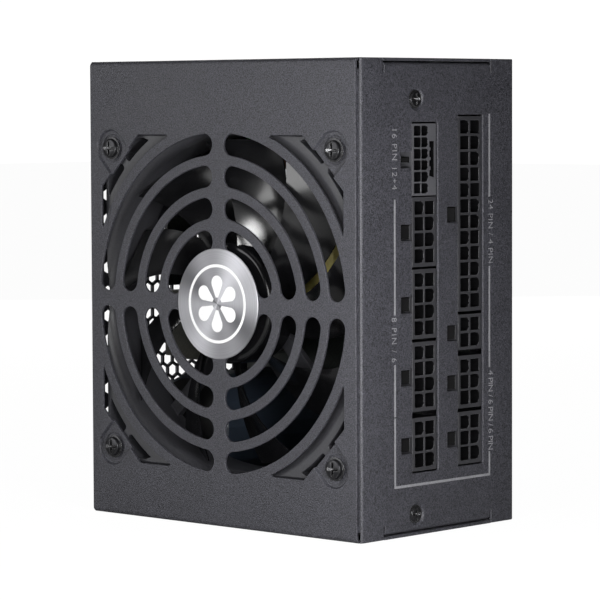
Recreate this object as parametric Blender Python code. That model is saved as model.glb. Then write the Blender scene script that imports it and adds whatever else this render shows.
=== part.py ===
"""A compact modular computer power supply in the small form factor, 125 x 100 x 63.5 mm.

It stands on one 100 x 63.5 mm flank. +Z is up along the 125 mm side, -Y is the fan face, -X is the mains end
and +X is the output end. The origin is the middle of the flank that it stands on.

Two bent sheets close the box: a C-shaped cover with the fan grille, and a chassis of back plate and two end
panels. The fan hangs under the grille, the main board lies on the back plate, and a second board carries the
output sockets behind the output end.
"""

import math

import bmesh
import bpy
from mathutils import Vector

for leftover in list(bpy.data.objects):
    bpy.data.objects.remove(leftover)

MM = 0.001


def mm_points(*points):
    return [tuple(value * MM for value in point) for point in points]


# ---------------------------------------------------------------- driving dimensions
DEPTH = 100 * MM
THICKNESS = 63.5 * MM
HEIGHT = 125 * MM
SHEET = 0.8 * MM
BEND = 1.3 * MM
CLEAR = 0.2 * MM

X_END = DEPTH / 2
Y_FACE = -THICKNESS / 2
Y_BACK = THICKNESS / 2

# cover: the fan face, two flanks, and a narrow lip on each flank that turns over the back plate
COVER_X = X_END - SHEET - 0.15 * MM
LIP = 2.5 * MM

# fixings of the case: tabs of the chassis lie under the cover's flanks, with one screw in each
FOLD = 1.0 * MM
FLAP = 22 * MM
TAB_NOTCH = 0.5 * MM
TAB_DROP = 1.1 * MM
TAB_LENGTH = 8 * MM
RETURN = 3 * MM
RETURN_Y = Y_FACE + SHEET + CLEAR
BACK_MARGIN = LIP + 0.3 * MM
CASE_SCREW_X = 45 * MM
UPSIDE_DOWN = (math.pi, 0, 0)
HEAD_GAP = 0.1 * MM
CASE_SCREWS = [(end * CASE_SCREW_X, HEIGHT, (0, 0, 0)) for end in (-1, 1)]
CASE_SCREWS += [(end * CASE_SCREW_X, 0, UPSIDE_DOWN) for end in (-1, 1)]
COUNTERSINK = mm_points((0, 1), (3.95, 1), (2.95, 0), (1.7, -1.25), (1.7, -3), (0, -3))
SCREW_PASSAGE = 1.9 * MM

# grille: four rings of slots cut by four spokes, with a window in each corner
FAN_Z = 60 * MM
RINGS = 4
RING_OUTER = 45.6 * MM
RING_PITCH = 8.47 * MM
SLOT = 5.8 * MM
SPOKE = 4.2 * MM
WINDOW_ARC = 48.4 * MM
WINDOW_TOP = 45.0 * MM
WINDOW_SIDE = 44.8 * MM
WINDOW_DIAGONAL = 75.5 * MM
TIP = 1.2  # degrees by which the long points of a window are blunted

# fan: 92 mm frame, 15 mm thick, on 82.5 mm hole centres, hung from four pads sunk in the face
FAN_SIZE = 92 * MM
FAN_THICK = 15 * MM
FAN_HOLE = 82.5 / 2 * MM
PAD_RADIUS = 4.8 * MM
PAD_DEPTH = 0.9 * MM
PAD_REACH = 6.5 * MM
FAN_FRONT = Y_FACE + PAD_DEPTH + SHEET + CLEAR
FAN_BACK = FAN_FRONT + FAN_THICK
DUCT_RADIUS = 45 * MM
MOUTH_RADIUS = 50 * MM
FAN_CORNER = 4.7 * MM
FRAME_EDGE = 1.2 * MM
FRAME_SLOT_INNER = 51.8 * MM
FRAME_SLOT_OUTER = 55.1 * MM
FRAME_SLOT_REACH = FAN_SIZE / 2 - FRAME_EDGE - 0.7 * MM
RIB_ANGLE = 1.3  # degrees either side of a corner's diagonal
SLOT_ANGLE = 12.0
HUB_RADIUS = 16.4 * MM
BLADE_TIP = 43.8 * MM
BLADES = 9
FAN_SCREW_HOLE = 2.25 * MM
ARM_WIDTH = 4 * MM
ARM_REACH = DUCT_RADIUS + 0.8 * MM
MOTOR_SEAT = 15 * MM
SEAT_THICK = 2 * MM
TUBE_FRONT = -23.8 * MM
HUB_FRONT = -28.8 * MM
HUB_BACK = -19 * MM
SHAFT_HOLE = 1.7 * MM
SHAFT_RADIUS = 1.5 * MM
SHAFT_END = -17.1 * MM
BLADE_ROOT = HUB_RADIUS - 0.5 * MM
BLADE_FRONT = -28.1 * MM
BLADE_RISE = 9 * MM
BLADE_CHORD = 25
BLADE_SWEEP = 24
BLADE_ROWS = 4
BLADE_COLUMNS = 5
FIRST_BLADE = 20.3
BADGE_RADIUS = 14.85 * MM

# output end: two columns of sockets, 4.2 mm between circuits
PITCH = 4.2 * MM
SOCKET_WIDTH = 9.7 * MM
SOCKET_DEPTH = 12.6 * MM
SOCKET_FACE = X_END - 0.35 * MM
COLUMN_NEAR = -5.3 * MM
COLUMN_FAR = 13.4 * MM
PANEL_SCREW_Y = -8.8 * MM
PANEL_SCREW_Z = (5.5 * MM, 114.3 * MM)
SOCKET_GAP = 0.35 * MM
NOTCH_DEPTH = 4.4 * MM
NOTCH_WIDTH = 4.2 * MM
CORNER = 0.6 * MM
CELL = 3.5 * MM
CELL_DEPTH = 9 * MM
CATCH = 1.8 * MM
FINE_CATCH = 0.7 * MM
CATCH_REACH = 2.8 * MM
SENSE_SOCKET = 16
FINE_PITCH = 3 * MM
FINE_CELL = 2.5 * MM

# each socket: name, number of circuits, middle along Z, height
NEAR_SOCKETS = (
    ("socket_16_way", SENSE_SOCKET, 98.5 * MM, 19 * MM),
    ("socket_8_way_1", 8, 79.6 * MM, 18.4 * MM),
    ("socket_8_way_2", 8, 60.7 * MM, 18.4 * MM),
    ("socket_8_way_3", 8, 41.6 * MM, 18.4 * MM),
    ("socket_6_way_1", 6, 23.8 * MM, 14.2 * MM),
)
FAR_SOCKETS = (
    ("socket_24_way", 24, 83.8 * MM, 52 * MM),
    ("socket_4_way", 4, 52.3 * MM, 9.6 * MM),
    ("socket_6_way_2", 6, 39.0 * MM, 14.2 * MM),
    ("socket_6_way_3", 6, 24.0 * MM, 14.2 * MM),
)

# mains end: inlet and rocker switch side by side, hexagonal vent, four case screw holes
MAINS_Z = 98 * MM
INLET_Y = 14.2 * MM
SWITCH_Y = -6.7 * MM
INLET_SIZE = (9.8 * MM, 13.6 * MM)
INLET_FLANGE = (11.8 * MM, 15.4 * MM)
INLET_MOUTH = (7.9 * MM, 12 * MM)
INLET_CHAMFER = 4.6 * MM
BLADE_SIZE = (2 * MM, MM)
SWITCH_FLANGE = (7.4 * MM, 10.5 * MM)
INLET_BACK = -29 * MM
BLADE_PLACES = {
    "inlet_blade_earth": (INLET_Y - 4 * MM, MAINS_Z),
    "inlet_blade_live": (INLET_Y, MAINS_Z + 7 * MM),
    "inlet_blade_neutral": (INLET_Y, MAINS_Z - 7 * MM),
}
SWITCH_SIZE = (5.9 * MM, 9.3 * MM)
CASE_HOLES = [(side * 51.5 / 2 * MM, z) for side in (-1, 1) for z in (6 * MM, HEIGHT - 6 * MM)]
VENT_PITCH = 3.9 * MM
VENT_HOLE = 3.2 * MM
VENT_Y = -1.7 * MM
VENT_LOW = 13.8 * MM
VENT_ROWS = 29
VENT_SIDE = 7
VENT_REACH = 26 * MM
VENT_SPLIT = 78 * MM
VENT_SPLIT_Y = -18.6 * MM
WELL_DEPTH = 3 * MM
WELL_FLOOR = -X_END + WELL_DEPTH
WELL_Y = (-15.6 * MM, 27.4 * MM)
WELL_Z = (81.2 * MM, 114.8 * MM)
WELL_CORNER = 3 * MM
ROCKER_THROW = math.radians(8)
ROCKER_X = WELL_FLOOR + MM

# boards
BOARD = 1.6 * MM
MAIN_BOARD_Y = 27 * MM
MAIN_BOARD_X = (-45.5 * MM, 34.6 * MM)
MAIN_BOARD_Z = (3.4 * MM, 121.4 * MM)
PARTS_Y = MAIN_BOARD_Y - CLEAR
OUTPUT_BOARD_X = SOCKET_FACE - SOCKET_DEPTH - CLEAR - BOARD
BOARD_SCREWS = ((-42 * MM, 7.5 * MM), (31 * MM, 7.5 * MM), (-42 * MM, 117.5 * MM), (31 * MM, 117.5 * MM))
STANDOFF = [
    (0, Y_BACK - SHEET / 2),
    (3.6 * MM, Y_BACK - SHEET / 2),
    (2.8 * MM, MAIN_BOARD_Y + BOARD + CLEAR),
    (0, MAIN_BOARD_Y + BOARD + CLEAR),
]
FINS = 5
FIN_PITCH = 5 * MM
FIN_THICK = 1.5 * MM
FIN_HIGH = 8 * MM
PLATE = 2 * MM
FAN_CABLE = mm_points((28, -13.4, 12), (24, 0, 7), (14, 12, 7), (12, 26.5, 8))
LIVE_WIRE = mm_points((-31.9, -6.7, 95), (-26, -4, 89), (-25, 12, 79), (-24.5, 25.4, 76.5))
NEUTRAL_WIRE = mm_points((-22.3, 14.2, 91), (-22.4, 19, 88), (-22.4, 25.4, 84))
EARTH_WIRE = mm_points((-22.6, 10.2, 98), (-23.5, 3, 107), (-34, 6, 116), (-45, 18, 119))
CHOKE_X = (-45.3 * MM, -29 * MM)
CHOKE_Z = (41.3 * MM, 61.8 * MM)
CHOKE_TALL = 33.3 * MM
CHOKE_WALL = 2.5 * MM
CHOKE_END = 1.0 * MM
TRAFO_X = 13 * MM
TRAFO_Z = 69.3 * MM

COLOURS = {
    "powder_coat": ((0.045, 0.045, 0.05), 0.55, 0.3),
    "fan_plastic": ((0.02, 0.02, 0.022), 0.3, 0.0),
    "socket_plastic": ((0.035, 0.035, 0.037), 0.5, 0.0),
    "black_plastic": ((0.018, 0.018, 0.018), 0.4, 0.0),
    "black_zinc": ((0.05, 0.05, 0.055), 0.35, 0.9),
    "spun_aluminium": ((0.52, 0.52, 0.54), 0.3, 1.0),
    "bare_aluminium": ((0.6, 0.6, 0.62), 0.4, 1.0),
    "tinned_brass": ((0.75, 0.72, 0.62), 0.3, 1.0),
    "bronze": ((0.55, 0.36, 0.16), 0.4, 1.0),
    "steel": ((0.6, 0.6, 0.6), 0.3, 1.0),
    "magnet": ((0.06, 0.06, 0.06), 0.6, 0.2),
    "copper_wire": ((0.6, 0.25, 0.1), 0.35, 0.9),
    "board": ((0.01, 0.05, 0.02), 0.45, 0.0),
    "black_board": ((0.012, 0.014, 0.013), 0.4, 0.0),
    "sleeve": ((0.05, 0.09, 0.16), 0.4, 0.0),
    "yellow_tape": ((0.75, 0.6, 0.12), 0.45, 0.0),
    "film": ((0.02, 0.02, 0.02), 0.3, 0.0),
    "earth_wire": ((0.15, 0.4, 0.05), 0.5, 0.0),
}


# ---------------------------------------------------------------- materials and objects
def material(slot):
    made = bpy.data.materials.get(slot)
    if made:
        return made
    colour, roughness, metallic = COLOURS[slot]
    made = bpy.data.materials.new(slot)
    made.use_nodes = True
    shader = made.node_tree.nodes["Principled BSDF"]
    shader.inputs["Base Color"].default_value = (*colour, 1.0)
    shader.inputs["Roughness"].default_value = roughness
    shader.inputs["Metallic"].default_value = metallic
    return made


def mesh_of(name, bm):
    """A mesh whose faces point out, made from a bmesh that is then freed."""
    bmesh.ops.recalc_face_normals(bm, faces=bm.faces)
    mesh = bpy.data.meshes.new(name)
    bm.to_mesh(mesh)
    bm.free()
    return mesh


def add(name, mesh, slot, at=(0, 0, 0), turn=(0, 0, 0)):
    """A named object with its own material, placed by location and rotation."""
    if not mesh.materials:
        mesh.materials.append(material(slot))
    made = bpy.data.objects.new(name, mesh)
    made.location = at
    made.rotation_euler = turn
    bpy.context.scene.collection.objects.link(made)
    return made


def smooth(obj, degrees=35):
    obj.data.shade_smooth()
    obj.data.set_sharp_from_angle(angle=math.radians(degrees))
    return obj


def boolean(target, operation, mesh, at, turn):
    """Joins or cuts target with a hidden helper made from mesh."""
    helper = add(f"{operation.lower()}_{target.name}_{len(target.modifiers)}", mesh, "film", at, turn)
    helper.hide_render = True
    helper.display_type = "WIRE"
    change = target.modifiers.new(helper.name, "BOOLEAN")
    change.operation = operation
    change.object = helper
    change.solver = "EXACT"


def cut(target, mesh, at=(0, 0, 0), turn=(0, 0, 0)):
    boolean(target, "DIFFERENCE", mesh, at, turn)


def join(target, mesh, at=(0, 0, 0)):
    boolean(target, "UNION", mesh, at, (0, 0, 0))


def bevel(obj, width, segments=1):
    change = obj.modifiers.new("edge", "BEVEL")
    change.width = width
    change.segments = segments
    change.limit_method = "ANGLE"
    change.angle_limit = math.radians(40)
    return obj


# ---------------------------------------------------------------- shapes
def place(axis, u, v, along):
    """A point from two coordinates across an axis, in X, Y, Z order, and one along it."""
    return {"X": (along, u, v), "Y": (u, along, v), "Z": (u, v, along)}[axis]


def add_prism(bm, axis, outline, low, high):
    rings = [[bm.verts.new(place(axis, u, v, w)) for u, v in outline] for w in (low, high)]
    bm.faces.new(rings[0])
    bm.faces.new(rings[1])
    for i in range(len(outline)):
        j = (i + 1) % len(outline)
        bm.faces.new((rings[0][i], rings[0][j], rings[1][j], rings[1][i]))


def prism(axis, outlines, low, high):
    """One mesh of straight-sided bars; outlines is a list of closed outlines across the axis."""
    bm = bmesh.new()
    for outline in outlines:
        add_prism(bm, axis, outline, low, high)
    return mesh_of("prism", bm)


def rectangle(u0, u1, v0, v1):
    return [(u0, v0), (u1, v0), (u1, v1), (u0, v1)]


def block(low, high):
    return prism("Z", [rectangle(low[0], high[0], low[1], high[1])], low[2], high[2])


def arc(centre, radius, start, end, steps):
    """Points along an arc, in degrees, both ends included."""
    turns = [math.radians(start + (end - start) * i / steps) for i in range(steps + 1)]
    return [(centre[0] + radius * math.cos(t), centre[1] + radius * math.sin(t)) for t in turns]


def circle(centre, radius, steps):
    return arc(centre, radius, 0, 360, steps)[:-1]


def add_turned(bm, axis, profile, steps):
    """Adds a turned shape; a profile of (radius, along) that starts and ends on the axis is solid."""
    rings = []
    for radius, along in profile:
        if radius == 0:
            rings.append([bm.verts.new(place(axis, 0, 0, along))])
            continue
        points = circle((0, 0), radius, steps)
        rings.append([bm.verts.new(place(axis, u, v, along)) for u, v in points])
    solid = profile[0][0] == 0
    pairs = zip(rings, rings[1:] if solid else rings[1:] + rings[:1])
    for first, second in pairs:
        for i in range(steps):
            j = (i + 1) % steps
            corners = [first[i % len(first)], first[j % len(first)]]
            corners += [second[j % len(second)], second[i % len(second)]]
            bm.faces.new(list(dict.fromkeys(corners)))


def turned(axis, profile, steps):
    bm = bmesh.new()
    add_turned(bm, axis, profile, steps)
    return mesh_of("turned", bm)


def rounded(points, radius, steps=2):
    """The outline with each corner replaced by an arc."""
    made = []
    for i, corner in enumerate(points):
        here = Vector(corner)
        come = (Vector(points[i - 1]) - here).normalized()
        go = (Vector(points[(i + 1) % len(points)]) - here).normalized()
        half = come.angle(go) / 2
        first = here + come * radius / math.tan(half)
        last = here + go * radius / math.tan(half)
        centre = here + (come + go).normalized() * radius / math.sin(half)
        for k in range(steps + 1):
            spoke = (first.lerp(last, k / steps) - centre).normalized()
            made.append(tuple(centre + spoke * radius))
    return made


def bent_sheet(corners, radius, steps=3):
    """Outline of a sheet with square bends to the left; the corners lie on its outer side."""
    path = [Vector(c) for c in corners]
    ways = [(b - a).normalized() for a, b in zip(path, path[1:])]
    outer = [tuple(path[0])]
    inner = [tuple(path[0] + left_of(ways[0]) * SHEET)]
    for corner, come, go in zip(path[1:], ways, ways[1:]):
        centre = corner + (go - come) * radius
        start = math.degrees(math.atan2(-go.y, -go.x))
        outer += arc(centre, radius, start, start + 90, steps)
        inner += arc(centre, radius - SHEET, start, start + 90, steps)
    outer.append(tuple(path[-1]))
    inner.append(tuple(path[-1] + left_of(ways[-1]) * SHEET))
    return outer + inner[::-1]


def left_of(way):
    return Vector((-way.y, way.x))


def keyhole(centre, radius, reach, width, steps):
    """A disc with a strip that runs from it towards the origin."""
    angle = math.degrees(math.atan2(centre[1], centre[0]))
    mouth = math.degrees(math.asin(min(1, width / 2 / radius)))
    inward = -Vector(centre).normalized()
    points = arc(centre, radius, angle - 180 + mouth, angle + 180 - mouth, steps)
    ends = [tuple(Vector(centre) + inward * reach + left_of(inward) * side * width / 2) for side in (-1, 1)]
    return points + ends


def corners_of(u, v):
    return [(u, v), (-u, v), (-u, -v), (u, -v)]


def wire(name, points, radius, slot):
    """A round wire bent smoothly through its points."""
    curve = bpy.data.curves.new(name, "CURVE")
    curve.dimensions = "3D"
    curve.bevel_depth = radius
    curve.bevel_resolution = 1
    curve.resolution_u = 4
    curve.use_fill_caps = True
    spline = curve.splines.new("BEZIER")
    spline.bezier_points.add(len(points) - 1)
    for knot, point in zip(spline.bezier_points, points):
        knot.co = point
        knot.handle_left_type = knot.handle_right_type = "AUTO"
    return add(name, curve, slot)


# ---------------------------------------------------------------- case
def grille_slot(ring, quadrant):
    """One slot of the grille, as points around the fan's axis."""
    outer = RING_OUTER - ring * RING_PITCH
    middle = outer - SLOT / 2
    inset = math.degrees(math.asin((SPOKE + SLOT) / 2 / middle))
    first, last = 90 * quadrant + inset, 90 * quadrant + 90 - inset
    steps = 9 - ring
    first_end = arc((0, 0), middle, first, first, 1)[0]
    last_end = arc((0, 0), middle, last, last, 1)[0]
    outline = arc((0, 0), outer, first, last, steps)
    outline += arc(last_end, SLOT / 2, last, last + 180, 6)[1:-1]
    outline += arc((0, 0), outer - SLOT, last, first, steps)
    outline += arc(first_end, SLOT / 2, first + 180, first + 360, 6)[1:-1]
    return outline


def corner_window(across, up):
    """The opening in one corner of the grille, between the rings and the fan screw's pad."""
    low = math.degrees(math.acos(WINDOW_SIDE / WINDOW_ARC))
    high = math.degrees(math.asin(WINDOW_TOP / WINDOW_ARC))
    points = arc((0, 0), WINDOW_ARC, high - TIP, low + TIP, 7)
    side = WINDOW_ARC * math.sin(math.radians(low + 2 * TIP))
    top = WINDOW_ARC * math.cos(math.radians(high - 2 * TIP))
    points += [(WINDOW_SIDE, side), (WINDOW_SIDE, WINDOW_DIAGONAL - WINDOW_SIDE)]
    points += [(WINDOW_DIAGONAL - WINDOW_TOP, WINDOW_TOP), (top, WINDOW_TOP)]
    return [(across * x, up * z) for x, z in points]


def fan_cover():
    path = [(Y_BACK, HEIGHT - LIP), (Y_BACK, HEIGHT), (Y_FACE, HEIGHT)]
    path += [(Y_FACE, 0), (Y_BACK, 0), (Y_BACK, LIP)]
    cover = add("fan_cover", prism("X", [bent_sheet(path, BEND)], -X_END, X_END), "powder_coat")
    for end in (-1, 1):
        edge, past = sorted((end * COVER_X, end * (X_END + MM)))
        for side in (-1, 1):
            near, far = sorted((side * FLAP, side * (THICKNESS / 2 + MM)))
            cut(cover, block((edge, near, -MM), (past, far, HEIGHT + MM)))
    centre = (0, 0, FAN_Z)
    screws = corners_of(FAN_HOLE, FAN_HOLE)
    pads = [teardrop(screw, PAD_RADIUS + SHEET / 2) for screw in screws]
    join(cover, prism("Y", pads, Y_FACE + SHEET / 2, Y_FACE + PAD_DEPTH + SHEET), centre)
    sunk = [teardrop(screw, PAD_RADIUS) for screw in screws]
    cut(cover, prism("Y", sunk, Y_FACE - MM, Y_FACE + PAD_DEPTH), centre)
    openings = [grille_slot(ring, quadrant) for ring in range(RINGS) for quadrant in range(4)]
    openings += [corner_window(across, up) for across, up in corners_of(1, 1)]
    openings += [circle(screw, FAN_SCREW_HOLE, 10) for screw in screws]
    cut(cover, prism("Y", openings, Y_FACE - MM, Y_FACE + 3 * MM), centre)
    for across, level, turn in CASE_SCREWS:
        cut(cover, turned("Z", COUNTERSINK, 14), (across, 0, level), turn)
    return smooth(cover)


def teardrop(screw, radius):
    """A sunk pad: round about its screw, and open towards the fan's axis."""
    return keyhole(screw, radius, PAD_REACH, 2 * radius, 10)


def column_cutout(column, centre):
    """The opening for one column of sockets, with a notch for each plug's latch."""
    low = column[-1][2] - socket_height(column[-1]) / 2 - SOCKET_GAP
    high = column[0][2] + socket_height(column[0]) / 2 + SOCKET_GAP
    near = centre - SOCKET_WIDTH / 2 - SOCKET_GAP
    outline = [(near, low), (near + SOCKET_WIDTH + 2 * SOCKET_GAP, low)]
    outline += [(near + SOCKET_WIDTH + 2 * SOCKET_GAP, high), (near, high)]
    for socket in column:
        upper, lower = socket[2] + NOTCH_WIDTH / 2, socket[2] - NOTCH_WIDTH / 2
        outline += [(near, upper), (near - NOTCH_DEPTH, upper), (near - NOTCH_DEPTH, lower), (near, lower)]
    return rounded(outline, CORNER, 1)


def vent_holes():
    """Centres of the vent's hexagonal holes: every third one of the sheet's full pattern."""
    row_pitch = VENT_PITCH * math.sqrt(3) / 2
    made = []
    for row in range(VENT_ROWS):
        z = VENT_LOW + row * row_pitch
        for column in range(-VENT_SIDE, VENT_SIDE + 1):
            y = VENT_Y + (column + row % 2 / 2) * VENT_PITCH
            beside_inlet = z > VENT_SPLIT and y > VENT_SPLIT_Y
            sparse = (column - row // 2 - row) % 3 == 0
            if sparse and abs(y) < VENT_REACH and not beside_inlet:
                made.append((y, z))
    return made


def hexagon(centre, flats):
    return [(centre[0] + x, centre[1] + z) for z, x in circle((0, 0), flats / math.sqrt(3), 6)]


def base_chassis():
    returned = X_END - RETURN
    path = [(returned, RETURN_Y), (X_END, RETURN_Y), (X_END, Y_BACK), (-X_END, Y_BACK), (-X_END, RETURN_Y)]
    path.append((-returned, RETURN_Y))
    chassis = add("base_chassis", prism("Z", [bent_sheet(path, FOLD)], 0, HEIGHT), "powder_coat")
    inner = X_END - SHEET + 0.02 * MM
    for low, high, notch_low, notch_high in (
        (-MM, BACK_MARGIN, -MM, BACK_MARGIN + MM),
        (HEIGHT - BACK_MARGIN, HEIGHT + MM, HEIGHT - BACK_MARGIN - MM, HEIGHT + MM),
    ):
        cut(chassis, block((-inner, -THICKNESS, low), (inner, THICKNESS, high)))
        cut(chassis, block((-DEPTH, -FLAP, notch_low), (DEPTH, FLAP, notch_high)))
    for end in (-1, 1):
        ledge = X_END - TAB_LENGTH
        top, bottom = (HEIGHT - TAB_DROP, TAB_DROP)
        channel = [(end * ledge, bottom), (end * X_END, bottom), (end * X_END, top), (end * ledge, top)]
        outline = bent_sheet(channel if end > 0 else channel[::-1], FOLD)
        join(chassis, prism("Y", [outline], -FLAP + TAB_NOTCH, FLAP - TAB_NOTCH))
    screws = [circle((end * CASE_SCREW_X, 0), SCREW_PASSAGE, 10) for end in (-1, 1)]
    cut(chassis, prism("Z", screws, TAB_DROP - MM, TAB_DROP + 3 * MM))
    cut(chassis, prism("Z", screws, HEIGHT - TAB_DROP - 3 * MM, HEIGHT - TAB_DROP + MM))
    columns = [column_cutout(NEAR_SOCKETS, COLUMN_NEAR), column_cutout(FAR_SOCKETS, COLUMN_FAR)]
    cut(chassis, prism("X", columns, X_END - 3 * MM, X_END + MM))
    for z in PANEL_SCREW_Z:
        cut(chassis, turned("X", COUNTERSINK, 14), (X_END, PANEL_SCREW_Y, z))
    shell = [WELL_Y[0] - SHEET, WELL_Y[1] + SHEET, WELL_Z[0] - SHEET, WELL_Z[1] + SHEET]
    shell = rounded(rectangle(*shell), WELL_CORNER + SHEET)
    join(chassis, prism("X", [shell], -X_END + SHEET / 2, WELL_FLOOR + SHEET))
    cut(chassis, prism("X", [rounded(rectangle(*WELL_Y, *WELL_Z), WELL_CORNER)], -X_END - MM, WELL_FLOOR))
    openings = [rounded(box_outline(INLET_Y, MAINS_Z, INLET_SIZE, 0.3 * MM), MM)]
    openings.append(rounded(box_outline(SWITCH_Y, MAINS_Z, SWITCH_SIZE, 0.3 * MM), MM))
    openings += [hexagon(centre, VENT_HOLE) for centre in vent_holes()]
    openings += [circle(point, 1.6 * MM, 10) for point in CASE_HOLES]
    cut(chassis, prism("X", openings, -X_END - MM, WELL_FLOOR + 2 * MM))
    for x, z in BOARD_SCREWS:
        join(chassis, turned("Y", STANDOFF, 12), (x, 0, z))
        cut(chassis, prism("Y", [circle((0, 0), 1.5 * MM, 8)], MAIN_BOARD_Y, Y_BACK + MM), (x, 0, z))
    return smooth(chassis)


def box_outline(y, z, size, gap=0.0):
    """A rectangle about a centre; size is the half width and half height."""
    return rectangle(y - size[0] - gap, y + size[0] + gap, z - size[1] - gap, z + size[1] + gap)


# ---------------------------------------------------------------- fan
def within(value, limit):
    return max(-limit, min(limit, value))


def corner_slots():
    """The two openings either side of the rib in each corner of the frame; the frame's sides stay whole."""
    made = []
    for corner in range(4):
        for side in (-1, 1):
            near = 90 * corner + 45 + side * RIB_ANGLE
            far = 90 * corner + 45 + side * SLOT_ANGLE
            outline = arc((0, 0), FRAME_SLOT_OUTER, near, far, 3)
            outline += arc((0, 0), FRAME_SLOT_INNER, far, near, 3)
            made.append([(within(u, FRAME_SLOT_REACH), within(v, FRAME_SLOT_REACH)) for u, v in outline])
    return made


def fan_frame():
    centre = (0, 0, FAN_Z)
    half = FAN_SIZE / 2
    outline = rounded(corners_of(half, half), FAN_CORNER, 4)
    frame = add("fan_frame", prism("Y", [outline], FAN_FRONT, FAN_BACK), "fan_plastic", centre)
    bevel(frame, FRAME_EDGE)
    cut(frame, prism("Y", corner_slots(), FAN_FRONT - MM, FAN_BACK + MM), centre)
    bell = MOUTH_RADIUS - DUCT_RADIUS
    duct = [(0, FAN_FRONT - MM), (MOUTH_RADIUS, FAN_FRONT - MM)]
    duct += arc((MOUTH_RADIUS, FAN_FRONT + bell), bell, 270, 180, 3)
    duct += [(DUCT_RADIUS, FAN_BACK + MM), (0, FAN_BACK + MM)]
    cut(frame, turned("Y", duct, 40), centre)
    spider = []
    for arm in range(4):
        angle = 90 * arm + 45
        spread = math.degrees(math.asin(ARM_WIDTH / 2 / MOTOR_SEAT))
        tip = math.degrees(math.asin(ARM_WIDTH / 2 / ARM_REACH))
        spider += arc((0, 0), ARM_REACH, angle - tip, angle + tip, 1)
        spider += arc((0, 0), MOTOR_SEAT, angle + spread, angle + 90 - spread, 4)
    join(frame, prism("Y", [spider], FAN_BACK - SEAT_THICK, FAN_BACK), centre)
    middle = FAN_BACK - SEAT_THICK / 2
    tube = [(0, middle), (4.4 * MM, middle), (4.4 * MM, TUBE_FRONT), (3.2 * MM, TUBE_FRONT)]
    tube += [(3.2 * MM, middle - MM / 2), (0, middle - MM / 2)]
    join(frame, turned("Y", tube, 14), centre)
    holes = [circle(screw, FAN_SCREW_HOLE, 8) for screw in corners_of(FAN_HOLE, FAN_HOLE)]
    cut(frame, prism("Y", holes, FAN_FRONT - MM, FAN_BACK + MM), centre)
    return smooth(frame)


def blade(bm, root):
    """One swept blade from the hub to its tip; root is its leading edge's angle at the tip, in degrees."""
    skins = []
    for lift in (-0.6 * MM, 0.6 * MM):
        skin = []
        for i in range(BLADE_ROWS):
            radius = BLADE_ROOT + (BLADE_TIP - BLADE_ROOT) * i / (BLADE_ROWS - 1)
            sweep = BLADE_SWEEP * (BLADE_TIP - radius) / (BLADE_TIP - HUB_RADIUS)
            row = []
            for j in range(BLADE_COLUMNS):
                share = j / (BLADE_COLUMNS - 1)
                angle = math.radians(root - sweep - BLADE_CHORD * share)
                depth = BLADE_FRONT + BLADE_RISE * math.sin(math.radians(80) * share)
                thick = lift * (1 - 0.6 * abs(2 * share - 1))
                row.append(bm.verts.new((radius * math.cos(angle), depth + thick, radius * math.sin(angle))))
            skin.append(row)
        skins.append(skin)
    front, back = skins
    for skin in skins:
        for i in range(BLADE_ROWS - 1):
            for j in range(BLADE_COLUMNS - 1):
                bm.faces.new((skin[i][j], skin[i + 1][j], skin[i + 1][j + 1], skin[i][j + 1]))
    rim = [(i, 0) for i in range(BLADE_ROWS)]
    rim += [(BLADE_ROWS - 1, j) for j in range(1, BLADE_COLUMNS)]
    rim += [(i, BLADE_COLUMNS - 1) for i in range(BLADE_ROWS - 2, -1, -1)]
    rim += [(0, j) for j in range(BLADE_COLUMNS - 2, 0, -1)]
    for here, after in zip(rim, rim[1:] + rim[:1]):
        sides = ((front, here), (front, after), (back, after), (back, here))
        bm.faces.new([skin[i][j] for skin, (i, j) in sides])


def fan_impeller():
    front = HUB_FRONT
    cup = [(0, front), (HUB_RADIUS - MM, front), (HUB_RADIUS, front + MM), (HUB_RADIUS, HUB_BACK)]
    cup += [(HUB_RADIUS - MM, HUB_BACK), (HUB_RADIUS - MM, front + 1.4 * MM), (3 * MM, front + 1.4 * MM)]
    cup += [(3 * MM, front + 4 * MM), (SHAFT_HOLE, front + 4 * MM), (SHAFT_HOLE, front + MM), (0, front + MM)]
    hub = add("fan_impeller", turned("Y", cup, 28), "fan_plastic", (0, 0, FAN_Z))
    bm = bmesh.new()
    for i in range(BLADES):
        blade(bm, FIRST_BLADE + i * 360 / BLADES)
    join(hub, mesh_of("blades", bm), (0, 0, FAN_Z))
    return smooth(hub)


def ring(name, slot, inner, outer, low, high, steps):
    profile = [(inner, low), (outer, low), (outer, high), (inner, high)]
    return smooth(add(name, turned("Y", profile, steps), slot, (0, 0, FAN_Z)))


def fan_stator():
    points = []
    for pole in range(4):
        angle = 90 * pole
        points += arc((0, 0), 12.9 * MM, angle - 36, angle + 36, 3)
        points += arc((0, 0), 10.4 * MM, angle + 34, angle + 18, 1)
        points += arc((0, 0), 7 * MM, angle + 28, angle + 62, 1)
        points += arc((0, 0), 10.4 * MM, angle + 72, angle + 56, 1)
    stator = add("fan_stator", prism("Y", [points], -25.2 * MM, -19.6 * MM), "copper_wire", (0, 0, FAN_Z))
    cut(stator, prism("Y", [circle((0, 0), 4.7 * MM, 12)], -26 * MM, -19 * MM), (0, 0, FAN_Z))
    return stator


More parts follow.
